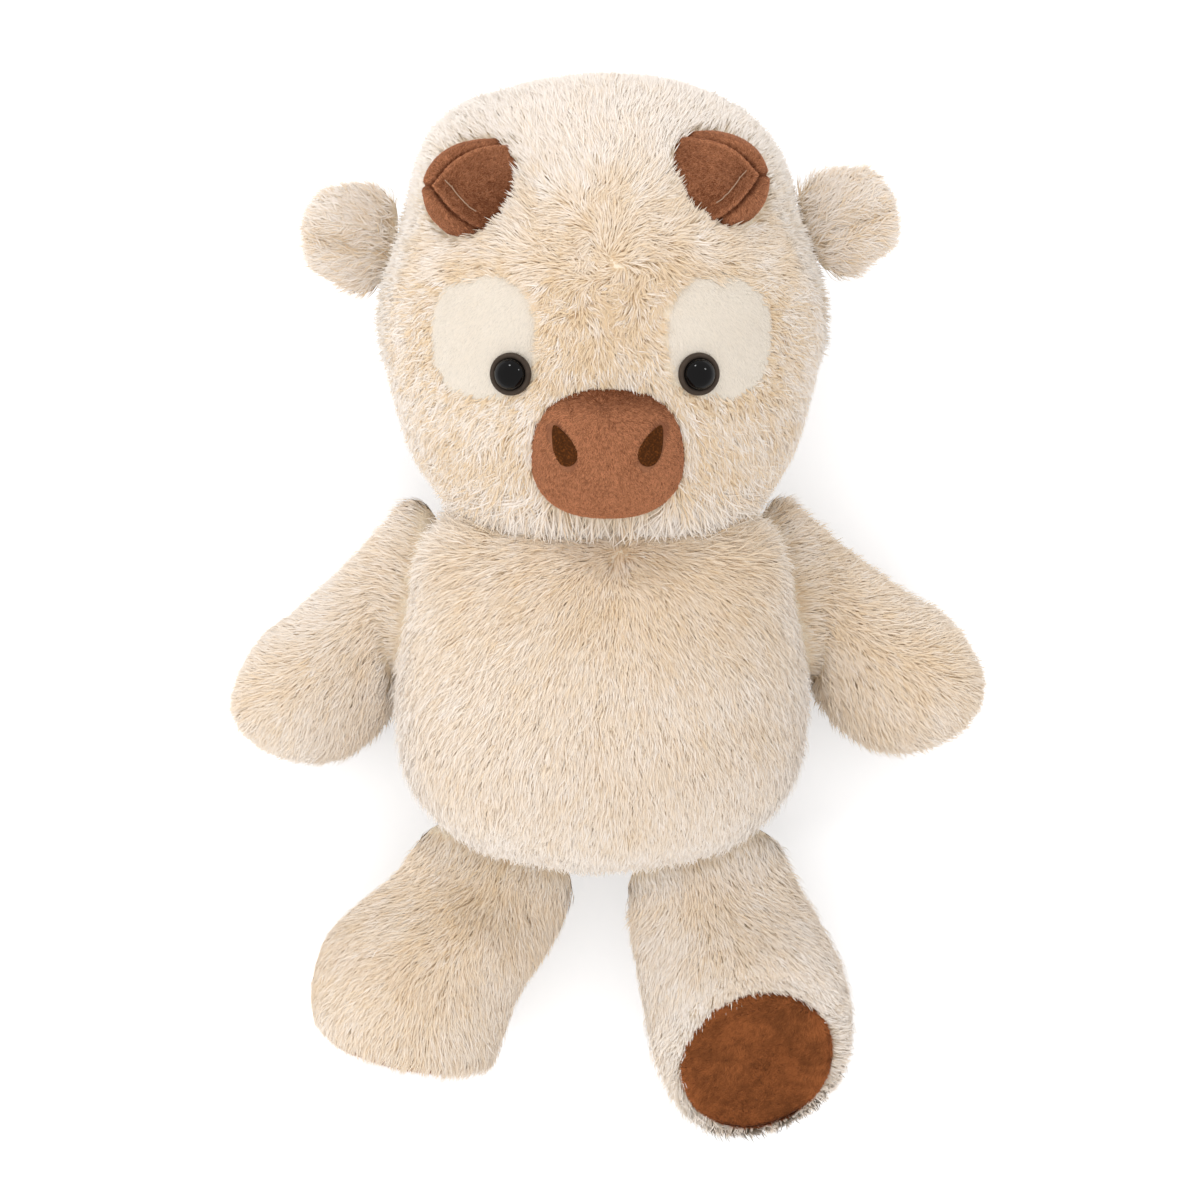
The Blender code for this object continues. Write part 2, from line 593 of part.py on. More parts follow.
def make_snout(velour, thread, filling, head_cutter):
    """The snout: a velour cushion open at the face, its filling, and the embroidered nostrils on its front."""
    middle = (SNOUT_X, SNOUT_Y)
    base = face_height(*middle)
    centre = (*middle, base - SNOUT_PROUD)

    def form(grow, around, levels):
        angles = np.linspace(0, 2 * np.pi, around, endpoint=False)
        flat = rounded(SNOUT_HALF_WIDTH, SNOUT_HALF_HEIGHT, SNOUT_SQUARE, grow, around)
        tilt = np.linspace(-np.pi / 2, np.pi / 2, levels + 2)[1:-1]
        rings = np.empty((levels, len(angles), 3))
        rings[:, :, :2] = (np.cos(tilt) ** (2 / SNOUT_SQUARE))[:, None, None] * flat
        height = np.sign(tilt) * np.abs(np.sin(tilt)) ** (2 / SNOUT_SQUARE)
        rings[:, :, 2] = (height * (2 * SNOUT_PROUD + grow))[:, None]
        tip = 2 * SNOUT_PROUD + grow
        return grid_mesh(rings + centre, centre - np.array([0, 0, tip]), centre + np.array([0, 0, tip]))

    cover = make_object("snout_cover", *form(0.0, 28, 11), velour, neck_axis())
    combine(cover, make_object("snout_hollow", *form(-VELOUR, 24, 9)))
    filled = make_object("snout_stuffing", *form(-VELOUR - GAP, 24, 9), filling, neck_axis())
    for made in (cover, filled):
        combine(made, head_cutter)
    outer = make_object("snout_stitch_outer", *form(GAP + STITCHING, 28, 11))
    inner = make_object("snout_stitch_inner", *form(GAP, 28, 11))
    for side in SIDES:
        sign = OUTWARDS[side]
        angles = np.linspace(0, 2 * np.pi, 16, endpoint=False)
        along = NOSTRIL_LENGTH / 2 * np.sin(angles)
        across = NOSTRIL_WIDTH / 2 * np.cos(angles) * (1 - NOSTRIL_TAPER * np.sin(angles))
        lean = math.radians(NOSTRIL_LEAN)
        x = SNOUT_X + sign * (NOSTRIL_X + along * math.sin(lean) + across * math.cos(lean))
        y = SNOUT_Y + NOSTRIL_RISE + along * math.cos(lean) - across * math.sin(lean)
        drop = np.stack([x, y], axis=-1)
        nostril = make_object(side + "_nostril", *prism(drop, base, base + 2 * SNOUT_PROUD), thread, neck_axis())
        combine(combine(nostril, outer, "INTERSECT"), inner)


def make_horns(velour, filling, head_cutter):
    """Blunt horns: a velour stub open at the head, and its filling."""
    def form(side, grow, around, levels):
        x, y = HORN_X[side], HORN_Y[side]
        foot = (x, y, face_height(x, y) - HORN_SUNK)
        reach, radius = HORN_LENGTH + grow, HORN_RADIUS + grow
        tilt = np.linspace(0, np.pi / 2, levels)
        along, across = HORN_SIDE_POWERS
        sides = [(reach * math.sin(a) ** along, radius * math.cos(a) ** across) for a in tilt[:-1]]
        return turned([(0, 0)] + sides + [(reach, 0)], foot, HORN_AXIS_SHARES[side], around)

    for side in SIDES:
        cover = make_object(side + "_horn_cover", *form(side, 0.0, 20, 8), velour, neck_axis())
        combine(cover, head_cutter)
        combine(cover, make_object(side + "_horn_hollow", *form(side, -VELOUR, 16, 7)))
        filled = make_object(side + "_horn_stuffing", *form(side, -VELOUR - GAP, 16, 7), filling, neck_axis())
        combine(filled, head_cutter)


def make_ears(fur):
    """Each ear is a front and a back panel, parted at its middle plane. Returns the cutters of the ear's slots."""
    slots = {}
    for side in SIDES:
        seam = ear_seam(side)
        slots[side + "_ear"] = make_object(side + "_ear_slot", *seam_mesh(seam, ear_lobe(side, SWING_GAP)))
        for name, sign in (("front", 1.0), ("back", -1.0)):
            points, faces = seam_mesh(seam, ear_lobe(side, 0.0))
            panel = make_object(f"{side}_ear_{name}", points, faces, fur, seam.place)
            work = bmesh.new()
            work.from_mesh(panel.data)
            plane = Vector((0, 0, sign * GAP / 2))
            cut = bmesh.ops.bisect_plane(
                work, geom=work.verts[:] + work.edges[:] + work.faces[:], plane_co=plane,
                plane_no=seam.front * -sign, clear_outer=True,
            )
            rim = [item for item in cut["geom_cut"] if isinstance(item, bmesh.types.BMEdge)]
            bmesh.ops.edgenet_fill(work, edges=rim)
            bmesh.ops.recalc_face_normals(work, faces=work.faces[:])
            work.to_mesh(panel.data)
            work.free()
    return slots


def make_arms(fur, filling, cutters):
    for side in SIDES:
        seam = arm_seam(side)
        cover = make_object(side + "_arm_cover", *seam_mesh(seam, arm_lobe(side, 0.0)), fur, seam.place, flat=True)
        combine(cover, make_object(side + "_arm_hollow", *seam_mesh(seam, arm_lobe(side, -COVER, 8, 14))))
        inner = seam_mesh(seam, arm_lobe(side, -COVER - GAP, 8, 14))
        filled = make_object(side + "_arm_stuffing", *inner, filling, seam.place)
        mouth = rod(seam.place, seam.out, -OVERRUN, 0.0, ARM_ROOT - COVER - GAP, 12)
        combine(cover, make_object(side + "_arm_mouth", *mouth))
        for made in (cover, filled):
            combine(made, cutters["neck_seat"])


def sole_frame(side, seam):
    """The middle of the sole and its outward direction."""
    share = SOLE_PLACE_SHARES[side]
    sign = OUTWARDS[side]
    local = (share[0] * LEG_REACH[side], sign * share[1] * LEG_HALF_WIDTH, share[2] * LEG_HALF_DEPTH)
    way = SOLE_DIRECTION_SHARES[side]
    direction = way[0] * seam.out + sign * way[1] * seam.along + way[2] * seam.front
    return seam.world(np.array(local)), direction.normalized()


def make_legs(fur, velour, filling):
    for side in SIDES:
        seam = leg_seam(side)
        middle, normal = sole_frame(side, seam)
        cover = make_object(side + "_leg_cover", *seam_mesh(seam, leg_lobe(side, 0.0)), fur, seam.place, flat=True)
        beyond = rod(middle, normal, 0.0, LEG_REACH[side], LEG_REACH[side], 16)
        combine(cover, make_object(side + "_leg_end", *beyond))
        hollow = make_object(side + "_leg_hollow", *seam_mesh(seam, leg_lobe(side, -COVER, 8, 14)))
        within = rod(middle, normal, -COVER, LEG_REACH[side], LEG_REACH[side], 16)
        combine(hollow, make_object(side + "_hollow_end", *within))
        combine(cover, hollow)
        inner = seam_mesh(seam, leg_lobe(side, -COVER - GAP, 8, 14))
        filled = make_object(side + "_leg_stuffing", *inner, filling, seam.place)
        deeper = rod(middle, normal, -COVER - GAP, LEG_REACH[side], LEG_REACH[side], 16)
        combine(filled, make_object(side + "_stuffing_end", *deeper))
        mouth = rod(seam.place, seam.out, -OVERRUN, 0.0, LEG_ROOT - COVER - GAP, 12)
        combine(cover, make_object(side + "_leg_mouth", *mouth))
        window = rod(middle, normal, -SOLE_WINDOW, OVERRUN, SOLE_RADIUS + GAP, 22)
        combine(cover, make_object(side + "_sole_window", *window))
        crown = [(SOLE_PROUD + SOLE_BULGE * math.sin(a), SOLE_RADIUS * math.cos(a))
                 for a in np.linspace(0, math.pi / 2, 5)[:-1]]
        pad = [(-COVER, 0), (-COVER, SOLE_RADIUS)] + crown + [(SOLE_PROUD + SOLE_BULGE, 0)]
        make_object(side + "_sole_pad", *turned(pad, middle, normal, 22), velour, seam.place)


def make_cutters():
    """The shapes that more than one piece is cut by."""
    cutters = {
        "neck_seat": make_object("neck_seat", *neck_seat(SWING_GAP)),
        "neck_seat_deep": make_object("neck_seat_deep", *neck_seat(SWING_GAP + COVER)),
        "head": make_object("head_cutter", *head_form(GAP)),
    }
    start = neck_axis()
    opening = rod(start, (0, 1, 0), -NECK_DEPTH, NECK_DEPTH, NECK_RADIUS, 28)
    cutters["neck_opening"] = make_object("neck_opening", *opening)
    for side in SIDES:
        cutters[side + "_arm"] = make_object(
            side + "_arm_pocket", *seam_mesh(arm_seam(side), arm_lobe(side, SWING_GAP))
        )
        cutters[side + "_leg"] = make_object(
            side + "_leg_pocket", *seam_mesh(leg_seam(side), leg_lobe(side, SWING_GAP))
        )
    return cutters


def tell_hinges():
    """Prints where each joint is, for whoever places it in an assembly."""
    print("head_turn", np.round(neck_axis(), 5), "axis 0 1 0")
    for side in SIDES:
        for name, seam in (("arm", arm_seam(side)), ("leg", leg_seam(side)), ("ear", ear_seam(side))):
            print(side, name, np.round(seam.place, 5), "along", np.round(seam.along, 5), "out", np.round(seam.out, 4))


def main():
    clear_scene()
    fur = material("cream_plush", CREAM, 0.95)
    panel_fur = material("short_plush", PALE, 0.9)
    velour = material("brown_velour", BROWN, 0.8)
    sole_velour = material("sole_velour", DARK_BROWN, 0.8)
    thread = material("nostril_thread", NOSTRIL_BROWN, 0.6)
    plastic = material("eye_plastic", BLACK, 0.05)
    washer_plastic = material("washer_plastic", WHITE, 0.5)
    filling = material("stuffing", WHITE, 1.0)
    cutters = make_cutters()
    make_body(fur, filling, cutters)
    cutters |= make_ears(fur)
    eyes = make_eyes(plastic, washer_plastic)
    make_head(fur, panel_fur, filling, cutters, eyes)
    make_snout(velour, thread, filling, cutters["head"])
    make_horns(velour, filling, cutters["head"])
    make_arms(fur, filling, cutters)
    make_legs(fur, sole_velour, filling)
    tell_hinges()


main()
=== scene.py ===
"""The looks of a plush cow that lies on its back: fur fabric covers with combed pile, velour trim and safety eyes.

Metres, +Z up, head towards +Y, the cow's own left at +X. Every soft form is the same swollen outline or lobe as the
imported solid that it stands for, worked out on a finer grid and a little smaller, so that the pile's tips end just
outside the solid. The pile is a mesh of narrow ribbons that are combed along a nap direction.
"""

import math

import bpy
import numpy as np
from bpy.props import FloatProperty, FloatVectorProperty, IntProperty, PointerProperty
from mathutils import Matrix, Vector


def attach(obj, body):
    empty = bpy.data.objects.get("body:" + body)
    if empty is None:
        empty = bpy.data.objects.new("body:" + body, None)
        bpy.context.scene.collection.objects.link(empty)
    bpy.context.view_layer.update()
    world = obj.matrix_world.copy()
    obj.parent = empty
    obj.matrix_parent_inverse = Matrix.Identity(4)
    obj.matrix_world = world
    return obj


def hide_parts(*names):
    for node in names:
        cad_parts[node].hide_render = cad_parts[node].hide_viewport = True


bl_info = {
    "name": "Plush Cow",
    "version": (1, 0, 0),
    "blender": (4, 5, 0),
    "location": "View3D > Sidebar > Plush Cow",
    "description": "Covers, pile and trim of a plush cow on its packed solids",
    "category": "Add Mesh",
}

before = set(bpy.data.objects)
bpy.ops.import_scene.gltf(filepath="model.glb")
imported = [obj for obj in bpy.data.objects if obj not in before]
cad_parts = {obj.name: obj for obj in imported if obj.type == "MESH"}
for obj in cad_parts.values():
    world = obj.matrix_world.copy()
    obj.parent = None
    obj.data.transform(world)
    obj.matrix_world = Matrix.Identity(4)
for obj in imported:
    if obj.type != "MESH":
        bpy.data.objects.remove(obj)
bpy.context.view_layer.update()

SIDES = ("left", "right")
OUTWARDS = {"left": 1.0, "right": -1.0}
UP = np.array([0.0, 0.0, 1.0])

# The forms, as in the solids
FULLNESS = 2.3
FLOOR_CUT = 0.0005
HEAD_RADIUS, HEAD_HALF_DEPTH, CHIN_Y, MUZZLE_DROP = 0.0745, 0.058, 0.0182, 0.014
HEAD_SHARES = (
    0.965, 0.96, 1.03, 1.02, 1.0, 1.03, 1.095, 1.01,
    1.01, 1.025, 1.115, 1.14, 1.105, 1.13, 1.095, 0.985,
)
HEAD_CENTRE = np.array([0.0, CHIN_Y + HEAD_SHARES[12] * HEAD_RADIUS, HEAD_HALF_DEPTH - FLOOR_CUT])
BODY_HALF_WIDTH, BODY_HALF_DEPTH = 0.0665, 0.053
BODY_SHARES = (
    1.0, 1.045, 1.165, 1.17, 1.10, 1.17, 1.165, 1.045,
    1.0, 1.0, 0.925, 0.82, 0.79, 0.82, 0.925, 1.0,
)
BODY_CENTRE = np.array([-0.002, -0.035, BODY_HALF_DEPTH - FLOOR_CUT])
ARM_REACH, ARM_SEAM, ARM_HALF_DEPTH, ARM_ROOT = 0.053, 0.027, 0.0265, 0.012
ARM_SEAM_Y, ARM_SEAM_Z, ARM_SEAM_OUT = 0.002, 0.036, 0.0035
ARM_TURN = {"left": 14.0, "right": 7.0}
ARM_TOP_SHARES = ((0, 1), (0.14, 0.78), (0.36, 0.34), (0.66, -0.28), (0.85, -0.58), (0.98, -1), (1.05, -1.38))
ARM_LOW_SHARES = ((0, -1), (0.03, -1.35), (0.15, -1.75), (0.31, -2.05), (0.52, -2.2), (0.74, -2.2), (0.88, -2.05))
ARM_DEPTH_SHARES = (0.0, 0.06, 0.4, 0.85, 1.0, 1.0, 1.0)
ARM_BLUNT = 5.0
LEG_REACH = {"left": 0.092, "right": 0.082}
LEG_SEAM, LEG_HALF_WIDTH, LEG_HALF_DEPTH, LEG_ROOT = 0.024, 0.0335, 0.031, 0.011
LEG_SEAM_X, LEG_SEAM_Z, LEG_SEAM_OUT = 0.0325, 0.036, 0.004
LEG_TURN = {"left": 16.5, "right": 19.0}
LEG_WIDTH_SHARES = (0.0, 0.35, 0.7, 0.95, 1.0, 1.0, 1.0)
LEG_DEPTH_SHARES = (0.0, 0.1, 0.55, 0.95, 1.0, 1.0, 1.0)
LEG_BEND_SHARES = {
    "left": (0.0, 0.0, 0.03, 0.05, 0.05, 0.01, -0.04),
    "right": (0.0, 0.1, 0.27, 0.42, 0.45, 0.41, 0.36),
}
LEG_BLUNT = {"left": 6.0, "right": 10.0}
SOLE_RADIUS, SOLE_PROUD = 0.026, 0.0005
SOLE_PLACE_SHARES = {"left": (0.735, 0.0, 0.4), "right": (0.85, 0.345, 0.0)}
SOLE_DIRECTION_SHARES = {"left": (0.425, 0.10, 0.895), "right": (1.0, -0.12, -0.05)}
EAR_REACH, EAR_SEAM, EAR_HALF_DEPTH, EAR_ROOT = 0.028, 0.0125, 0.0085, 0.0045
EAR_SEAM_OUT, EAR_SEAM_Z, EAR_BLUNT = 0.0015, 0.054, 4.0
EAR_AT = {"left": 18.5, "right": 165.0}
EAR_TURN = {"left": 20.0, "right": 172.0}
EAR_TOP_SHARES = ((0.0, 1.0), (0.2, 1.15), (0.5, 1.35), (0.8, 1.4), (1.0, 1.3))
EAR_LOW_SHARES = ((0.0, -1.0), (0.2, -1.2), (0.5, -1.35), (0.8, -1.35), (1.0, -1.2))
EAR_DEPTH_SHARES = (0.0, 0.6, 1.0, 1.0, 1.0)
HORN_RADIUS, HORN_LENGTH, HORN_SUNK = 0.0172, 0.034, 0.0227
HORN_X = {"left": 0.0265, "right": -0.034}
HORN_Y = {"left": 0.137, "right": 0.1345}
HORN_AXIS_SHARES = {"left": (0.56, 0.08, 0.82), "right": (-0.57, 0.06, 0.82)}
SNOUT_Y, SNOUT_HALF_WIDTH, SNOUT_HALF_HEIGHT, SNOUT_PROUD, SNOUT_SQUARE = 0.0508, 0.0262, 0.0229, 0.0135, 2.4
NOSTRIL_X, NOSTRIL_RISE, NOSTRIL_LENGTH, NOSTRIL_WIDTH = 0.0148, 0.0006, 0.0145, 0.0042
NOSTRIL_LEAN, NOSTRIL_TAPER = 23.0, 0.45
PANEL_X = {"left": 0.0362, "right": -0.0402}
PANEL_Y, PANEL_HALF_WIDTH, PANEL_HALF_HEIGHT, PANEL_SQUARE = 0.0875, 0.0175, 0.0212, 2.5
EYE_X = {"left": 0.0297, "right": -0.0316}
EYE_Y, EYE_RADIUS, EYE_HEIGHT = 0.075, 0.0071, 0.0058

# What the solids leave to the looks
SKIN_IN = 0.0008  # how far the backing fabric lies inside the solid's outline
EAR_IN = 0.0028  # the same for the ears
FILLING_IN = 0.0052  # how far the large fillings lie inside it
BACKING = 0.0012  # the backing fabric's thickness
SNOUT_CLOTH, HORN_CLOTH = 0.0009, 0.0007  # the velour's thickness
FLOOR_LIFT = 0.0003  # how far the lowest fibre lies above the floor
COVER_LIFT = 0.0012  # how far a cover's lowest point lies above it
FILLING_LIFT = 0.003  # how far a filling's lowest point lies above it
BODY_FRONT_Z, CHEST_Y, HEAD_FRONT_Z, CROWN_Y = 0.040, -0.036, 0.050, 0.106  # where one pile piece meets the next
HORN_TIP_OUT, HORN_UPPER_SPREAD, HORN_LOWER_SPREAD = 0.005, 52.0, 42.0  # the front panel's tip and its edges' angles
DOME_RADIUS, DOME_FOOT = 0.00535, 0.0016  # the eye's dome, over its foot on the face
# The eye's post, from its end inside the head to its shoulder under the dome, as (radius, height)
POST = [(0.0, -0.0108), (0.0018, -0.0108), (0.0021, -0.0105), (0.0021, -0.0004), (0.0050, -0.0002)]
RIM_RADIUS, RIM_HALF_WIDTH, RIM_FOOT, RIM_HALF_HEIGHT = 0.00605, 0.00105, 0.0009, 0.0012
THREAD_PITCH, THREAD_RADIUS, THREAD_PUFF = 0.00042, 0.00016, 0.0007  # the nostrils' satin stitching
STITCH_RADIUS = 0.00020
SOLE_ROUND, SOLE_INSET, SOLE_UNDER, SOLE_HEIGHT = 0.0018, 0.0022, 0.003, 0.0021  # the pad's edge, back and front
SOLE_GAP = 0.0012  # how far a leg's flat end lies behind the middle of its sole
SOLE_TAPER_WIDE, SOLE_TAPER_DEEP = 0.010, 0.018  # the right leg's narrowing to its sole
WAIST_Y, WAIST_LONG, WAIST_Z, WAIST_DEEP, WAIST_SHARE = 0.128, 0.028, 0.050, 0.052, 0.062  # see waisted
ROOT_SWELL = {"left_arm": 0.0050, "right_arm": 0.0050, "left_leg": 0.002, "right_leg": 0.0045}
ARM_ROOT_SQUARE = 0.25  # see rooted
BROW_WHORL = (0.001, 0.113, 0.116)  # the head's pile runs away from it
CHEST_WHORL = (0.0035, 0.014, 0.10)  # and the body's from this
# How much paler each limb's pile is made: painted light, for the body's shadow on the left leg and the brighter side of
# the right arm
LIMB_PAINTED_LIGHT = {"left_arm": 0.0, "right_arm": 0.16, "left_leg": 0.18, "right_leg": 0.0}
STAGE_MIDDLE = np.array([-0.0025, 0.0008, 0.05])
LAMP_AWAY, LAMP_SIZE, LAMP_ELEVATION = 1.15, 0.15, 36.0
SENSOR = 36.0  # the camera's sensor, in millimetres
PER_SQUARE_METRE = 1e6  # turns fibres per square millimetre into fibres per square metre


def colour_setting(name, description, default):
    return FloatVectorProperty(name=name, description=description, subtype="COLOR", size=3, default=default)


class PileSettings(bpy.types.PropertyGroup):
    """Sizes and colours of the long pile."""

    length: FloatProperty(name="Length", description="Length of a fibre", default=0.0080, min=0.001, unit="LENGTH")
    rise: FloatProperty(
        name="Rise", description="How far a fibre's tip stands off the backing", default=0.0021, min=0.0005,
        unit="LENGTH",
    )
    width: FloatProperty(name="Width", description="Share of the width that each piece's ribbons have", default=1.0)
    tuft: FloatProperty(name="Tuft", description="Radius of a tuft at the backing", default=0.0011, unit="LENGTH")
    density: FloatProperty(name="Density", description="Share of the fibres that are made", default=1.0, min=0.01)
    seed: IntProperty(name="Seed", description="Start of the random numbers", default=7)
    tip: colour_setting("Tip", "Colour of a pale fibre's tip", (0.97, 0.90, 0.83))
    tip_tan: colour_setting("Tan tip", "Colour of a tan fibre's tip", (0.87, 0.69, 0.47))
    root: colour_setting("Root", "Colour of a pale fibre's root", (0.93, 0.80, 0.62))
    root_tan: colour_setting("Tan root", "Colour of a tan fibre's root", (0.74, 0.52, 0.30))


class TrimSettings(bpy.types.PropertyGroup):
    """Colours of the velour, the eye panels, the thread and the eyes."""

    velour: colour_setting("Velour", "Colour of the snout's and the horns' velour", (0.45, 0.19, 0.094))
    velour_dark: colour_setting("Dark velour", "Colour where its nap lies the other way", (0.17, 0.052, 0.020))
    sole: colour_setting("Sole", "Colour of the soles", (0.34, 0.112, 0.036))
    panel: colour_setting("Eye panel", "Colour of the short pile round the eyes", (0.97, 0.90, 0.80))
    thread: colour_setting("Thread", "Colour of the nostrils' thread", (0.10, 0.030, 0.006))
    eye: colour_setting("Eye", "Colour of the eyes' plastic", (0.003, 0.0025, 0.0025))
    rim: colour_setting("Eye rim", "Colour of the rim round an eye", (0.055, 0.040, 0.030))


class StageSettings(bpy.types.PropertyGroup):
    """The camera and the light."""

    distance: FloatProperty(
        name="Distance", description="Height of the camera over the middle of the toy", default=4.0, unit="LENGTH",
    )
    field: FloatProperty(name="Field", description="Width of what the camera sees", default=0.4, unit="LENGTH")
    daylight: FloatProperty(name="Daylight", description="Strength of the even light", default=1.07)
    lamp: FloatProperty(name="Lamp", description="Power of the upper soft lamp", default=2.2, unit="POWER")


# Shapes

def closed_spline(values, angles):
    """A smooth closed curve through values that are spaced evenly round the circle, read at angles."""
    values = np.asarray(values, float)
    place = np.mod(angles, 2 * np.pi) / (2 * np.pi) * len(values)
    start = np.floor(place).astype(int)
    part = place - start
    a, b, c, d = (values[(start + k) % len(values)] for k in (-1, 0, 1, 2))
    return b + 0.5 * part * (c - a + part * (2 * a - 5 * b + 4 * c - d + part * (3 * (b - c) + d - a)))


def open_spline(values, places):
    """A smooth curve through values at 0, 1, 2 and so on, read at places."""
    values = np.asarray(values, float)
    ends = np.concatenate([[2 * values[0] - values[1]], values, [2 * values[-1] - values[-2]]])
    start = np.clip(np.floor(places).astype(int), 0, len(values) - 2)
    part = (places - start)[:, None] if values.ndim > 1 else places - start
    a, b, c, d = (ends[start + k] for k in range(4))
    return b + 0.5 * part * (c - a + part * (2 * a - 5 * b + 4 * c - d + part * (3 * (b - c) + d - a)))


def unit(vectors):
    return vectors / np.maximum(np.linalg.norm(vectors, axis=-1, keepdims=True), 1e-12)


def dot(a, b):
    return (a * b).sum(-1)


def flattened(way, normal):
    """way without what runs along normal, at length 1."""
    return unit(way - dot(way, normal)[:, None] * normal)


def smooth(low, high, values):
    """0 below low, 1 above high and a smoothstep between them."""
    part = np.clip((values - low) / (high - low), 0, 1)
    return part * part * (3 - 2 * part)


def bell(values, middle, width):
    """1 at middle, falling off to both sides by width."""
    return np.exp(-(((values - middle) / width) ** 2))


def noise(points, size, seed):
    """Smooth random values from 0 to 1: random numbers at the corners of cubes of that size, mixed by smoothsteps."""
    table = np.random.default_rng(seed).random((24, 24, 24))
    place = np.asarray(points) / size
    low = np.floor(place).astype(int)
    part = place - low
    part = part * part * (3 - 2 * part)
    total = np.zeros(place.shape[:-1])
    for corner in np.ndindex(2, 2, 2):
        weight = np.prod(np.where(np.array(corner) == 1, part, 1 - part), axis=-1)
        at = (low + corner) % 24
        total += weight * table[at[..., 0], at[..., 1], at[..., 2]]
    return total


class Form:
    """A closed surface on a grid: rows run from one pole to the other and columns turn round.

    Its slopes along and across are differences of the grid, and its normal is their cross product, turned outwards.
    """

    def __init__(self, points):
        self.points = points
        self.rows, self.columns = points.shape[:2]
        self.ahead = np.gradient(points, axis=0)
        self.round = (np.roll(points, -1, 1) - np.roll(points, 1, 1)) / 2
        normal = np.cross(self.round, self.ahead)
        self.area = np.linalg.norm(normal, axis=-1)
        away = points - points.reshape(-1, 3).mean(0)
        self.sign = 1.0 if (normal * away).sum() > 0 else -1.0
        normal = unit(normal * self.sign)
        normal[0] = unit(normal[1].mean(0))
        normal[-1] = unit(normal[-2].mean(0))
        self.normal = normal

    def read(self, grid, row, column):
        """A grid's values between its points, by bilinear mixing."""
        row = np.clip(row, 0, self.rows - 1.001)
        i, j = row.astype(int), np.floor(column).astype(int)
        f, g = row - i, column - j
        j, k = j % self.columns, (j + 1) % self.columns
        if grid.ndim > 2:
            f, g = f[:, None], g[:, None]
        return (grid[i, j] * (1 - g) + grid[i, k] * g) * (1 - f) + (grid[i + 1, j] * (1 - g) + grid[i + 1, k] * g) * f

    def scatter(self, count, weight, rng):
        """Rows and columns, one at random in each of count equal shares of area times weight."""
        share = (self.area * weight)[1:-1].ravel()
        ends = np.cumsum(share)
        cell = np.searchsorted(ends, (np.arange(count) + rng.random(count)) / count * ends[-1])
        row = cell // self.columns + 1 + rng.random(count) - 0.5
        column = cell % self.columns + rng.random(count) - 0.5
        return row, column

    def gap_to(self, others, step=2):
        """How far each point of the grid is outside the nearest of the other forms, below 0 inside one."""
        rows = np.unique(np.append(np.arange(0, self.rows, step), self.rows - 1))
        some = self.points[rows][:, ::step].reshape(-1, 3).astype(np.float32)
        gap = np.full(len(some), 1.0)
        for other in others:
            there = other.points[::step, ::step].reshape(-1, 3).astype(np.float32)
            facing = other.normal[::step, ::step].reshape(-1, 3)
            for start in range(0, len(some), 500):
                part = some[start:start + 500]
                squares = (part**2).sum(1)[:, None] + (there**2).sum(1) - 2 * part @ there.T
                near = squares.argmin(1)
                away = part - there[near]
                side = np.where(dot(away, facing[near]) < 0, -1.0, 1.0)
                signed = side * np.sqrt((away**2).sum(1))
                gap[start:start + 500] = np.minimum(gap[start:start + 500], signed)
        coarse = gap.reshape(len(rows), -1)
        wide = np.concatenate([coarse, coarse[:, :1]], axis=1)
        at = np.append(np.arange(0, self.columns, step), self.columns)
        full = np.stack([np.interp(np.arange(self.columns), at, line) for line in wide])
        return np.stack([np.interp(np.arange(self.rows), rows, line) for line in full.T], axis=1)


def with_poles(rings, first, last):
    count = rings.shape[1]
    ends = [np.repeat(np.asarray(p, float).reshape(1, 1, 3), count, axis=1) for p in (first, last)]
    return np.concatenate([ends[0], rings, ends[1]])


def rest_on_floor(points, lift):
    """No point lies lower than lift."""
    points[..., 2] = np.maximum(points[..., 2], lift)
    return points


def cushion(shares, radius, centre, half_depth, grow, drop=0.0, around=176, levels=96):
    """An outline swollen to both sides: at height h it is scaled by (1 - |h|^FULLNESS)^(1/FULLNESS), and above the
    middle it sinks by drop times h squared."""
    angles = np.linspace(0, 2 * np.pi, around, endpoint=False)
    tilt = np.linspace(-np.pi / 2, np.pi / 2, levels + 2)[1:-1]
    scale = np.cos(tilt) ** (2 / FULLNESS)
    height = np.sign(tilt) * np.abs(np.sin(tilt)) ** (2 / FULLNESS)
    reach = closed_spline(shares, angles) * radius + grow
    rings = np.empty((levels, around, 3))
    rings[:, :, 0] = scale[:, None] * reach * np.cos(angles)
    rings[:, :, 1] = scale[:, None] * reach * np.sin(angles) - (drop * np.clip(height, 0, None) ** 2)[:, None]
    rings[:, :, 2] = (height * (half_depth + grow))[:, None]
    deep = half_depth + grow
    return with_poles(rings + centre, centre - (0, 0, deep), centre + (0, -drop, deep))


def head_points(grow, **size):
    return cushion(HEAD_SHARES, HEAD_RADIUS, HEAD_CENTRE, HEAD_HALF_DEPTH, grow, MUZZLE_DROP, **size)


def body_points(grow, **size):
    return cushion(BODY_SHARES, BODY_HALF_WIDTH, BODY_CENTRE, BODY_HALF_DEPTH, grow, **size)


def face_height(x, y):
    """Height of the front of the head's solid over (x, y), found by halving."""
    x, y = np.broadcast_arrays(np.asarray(x, float), np.asarray(y, float))
    low, high = np.zeros(x.shape), np.ones(x.shape)
    for _ in range(40):
        rise = (low + high) / 2
        scale = (1 - rise**FULLNESS) ** (1 / FULLNESS)
        dx, dy = x - HEAD_CENTRE[0], y - HEAD_CENTRE[1] + MUZZLE_DROP * rise**2
        inside = np.hypot(dx, dy) < closed_spline(HEAD_SHARES, np.arctan2(dy, dx)) * HEAD_RADIUS * scale
        low, high = np.where(inside, rise, low), np.where(inside, high, rise)
    return HEAD_CENTRE[2] + HEAD_HALF_DEPTH * low


def face_normal(x, y, step=0.0006):
    slope_x = (face_height(x + step, y) - face_height(x - step, y)) / (2 * step)
    slope_y = (face_height(x, y + step) - face_height(x, y - step)) / (2 * step)
    return unit(np.stack([-slope_x, -slope_y, np.ones_like(slope_x)], axis=-1))


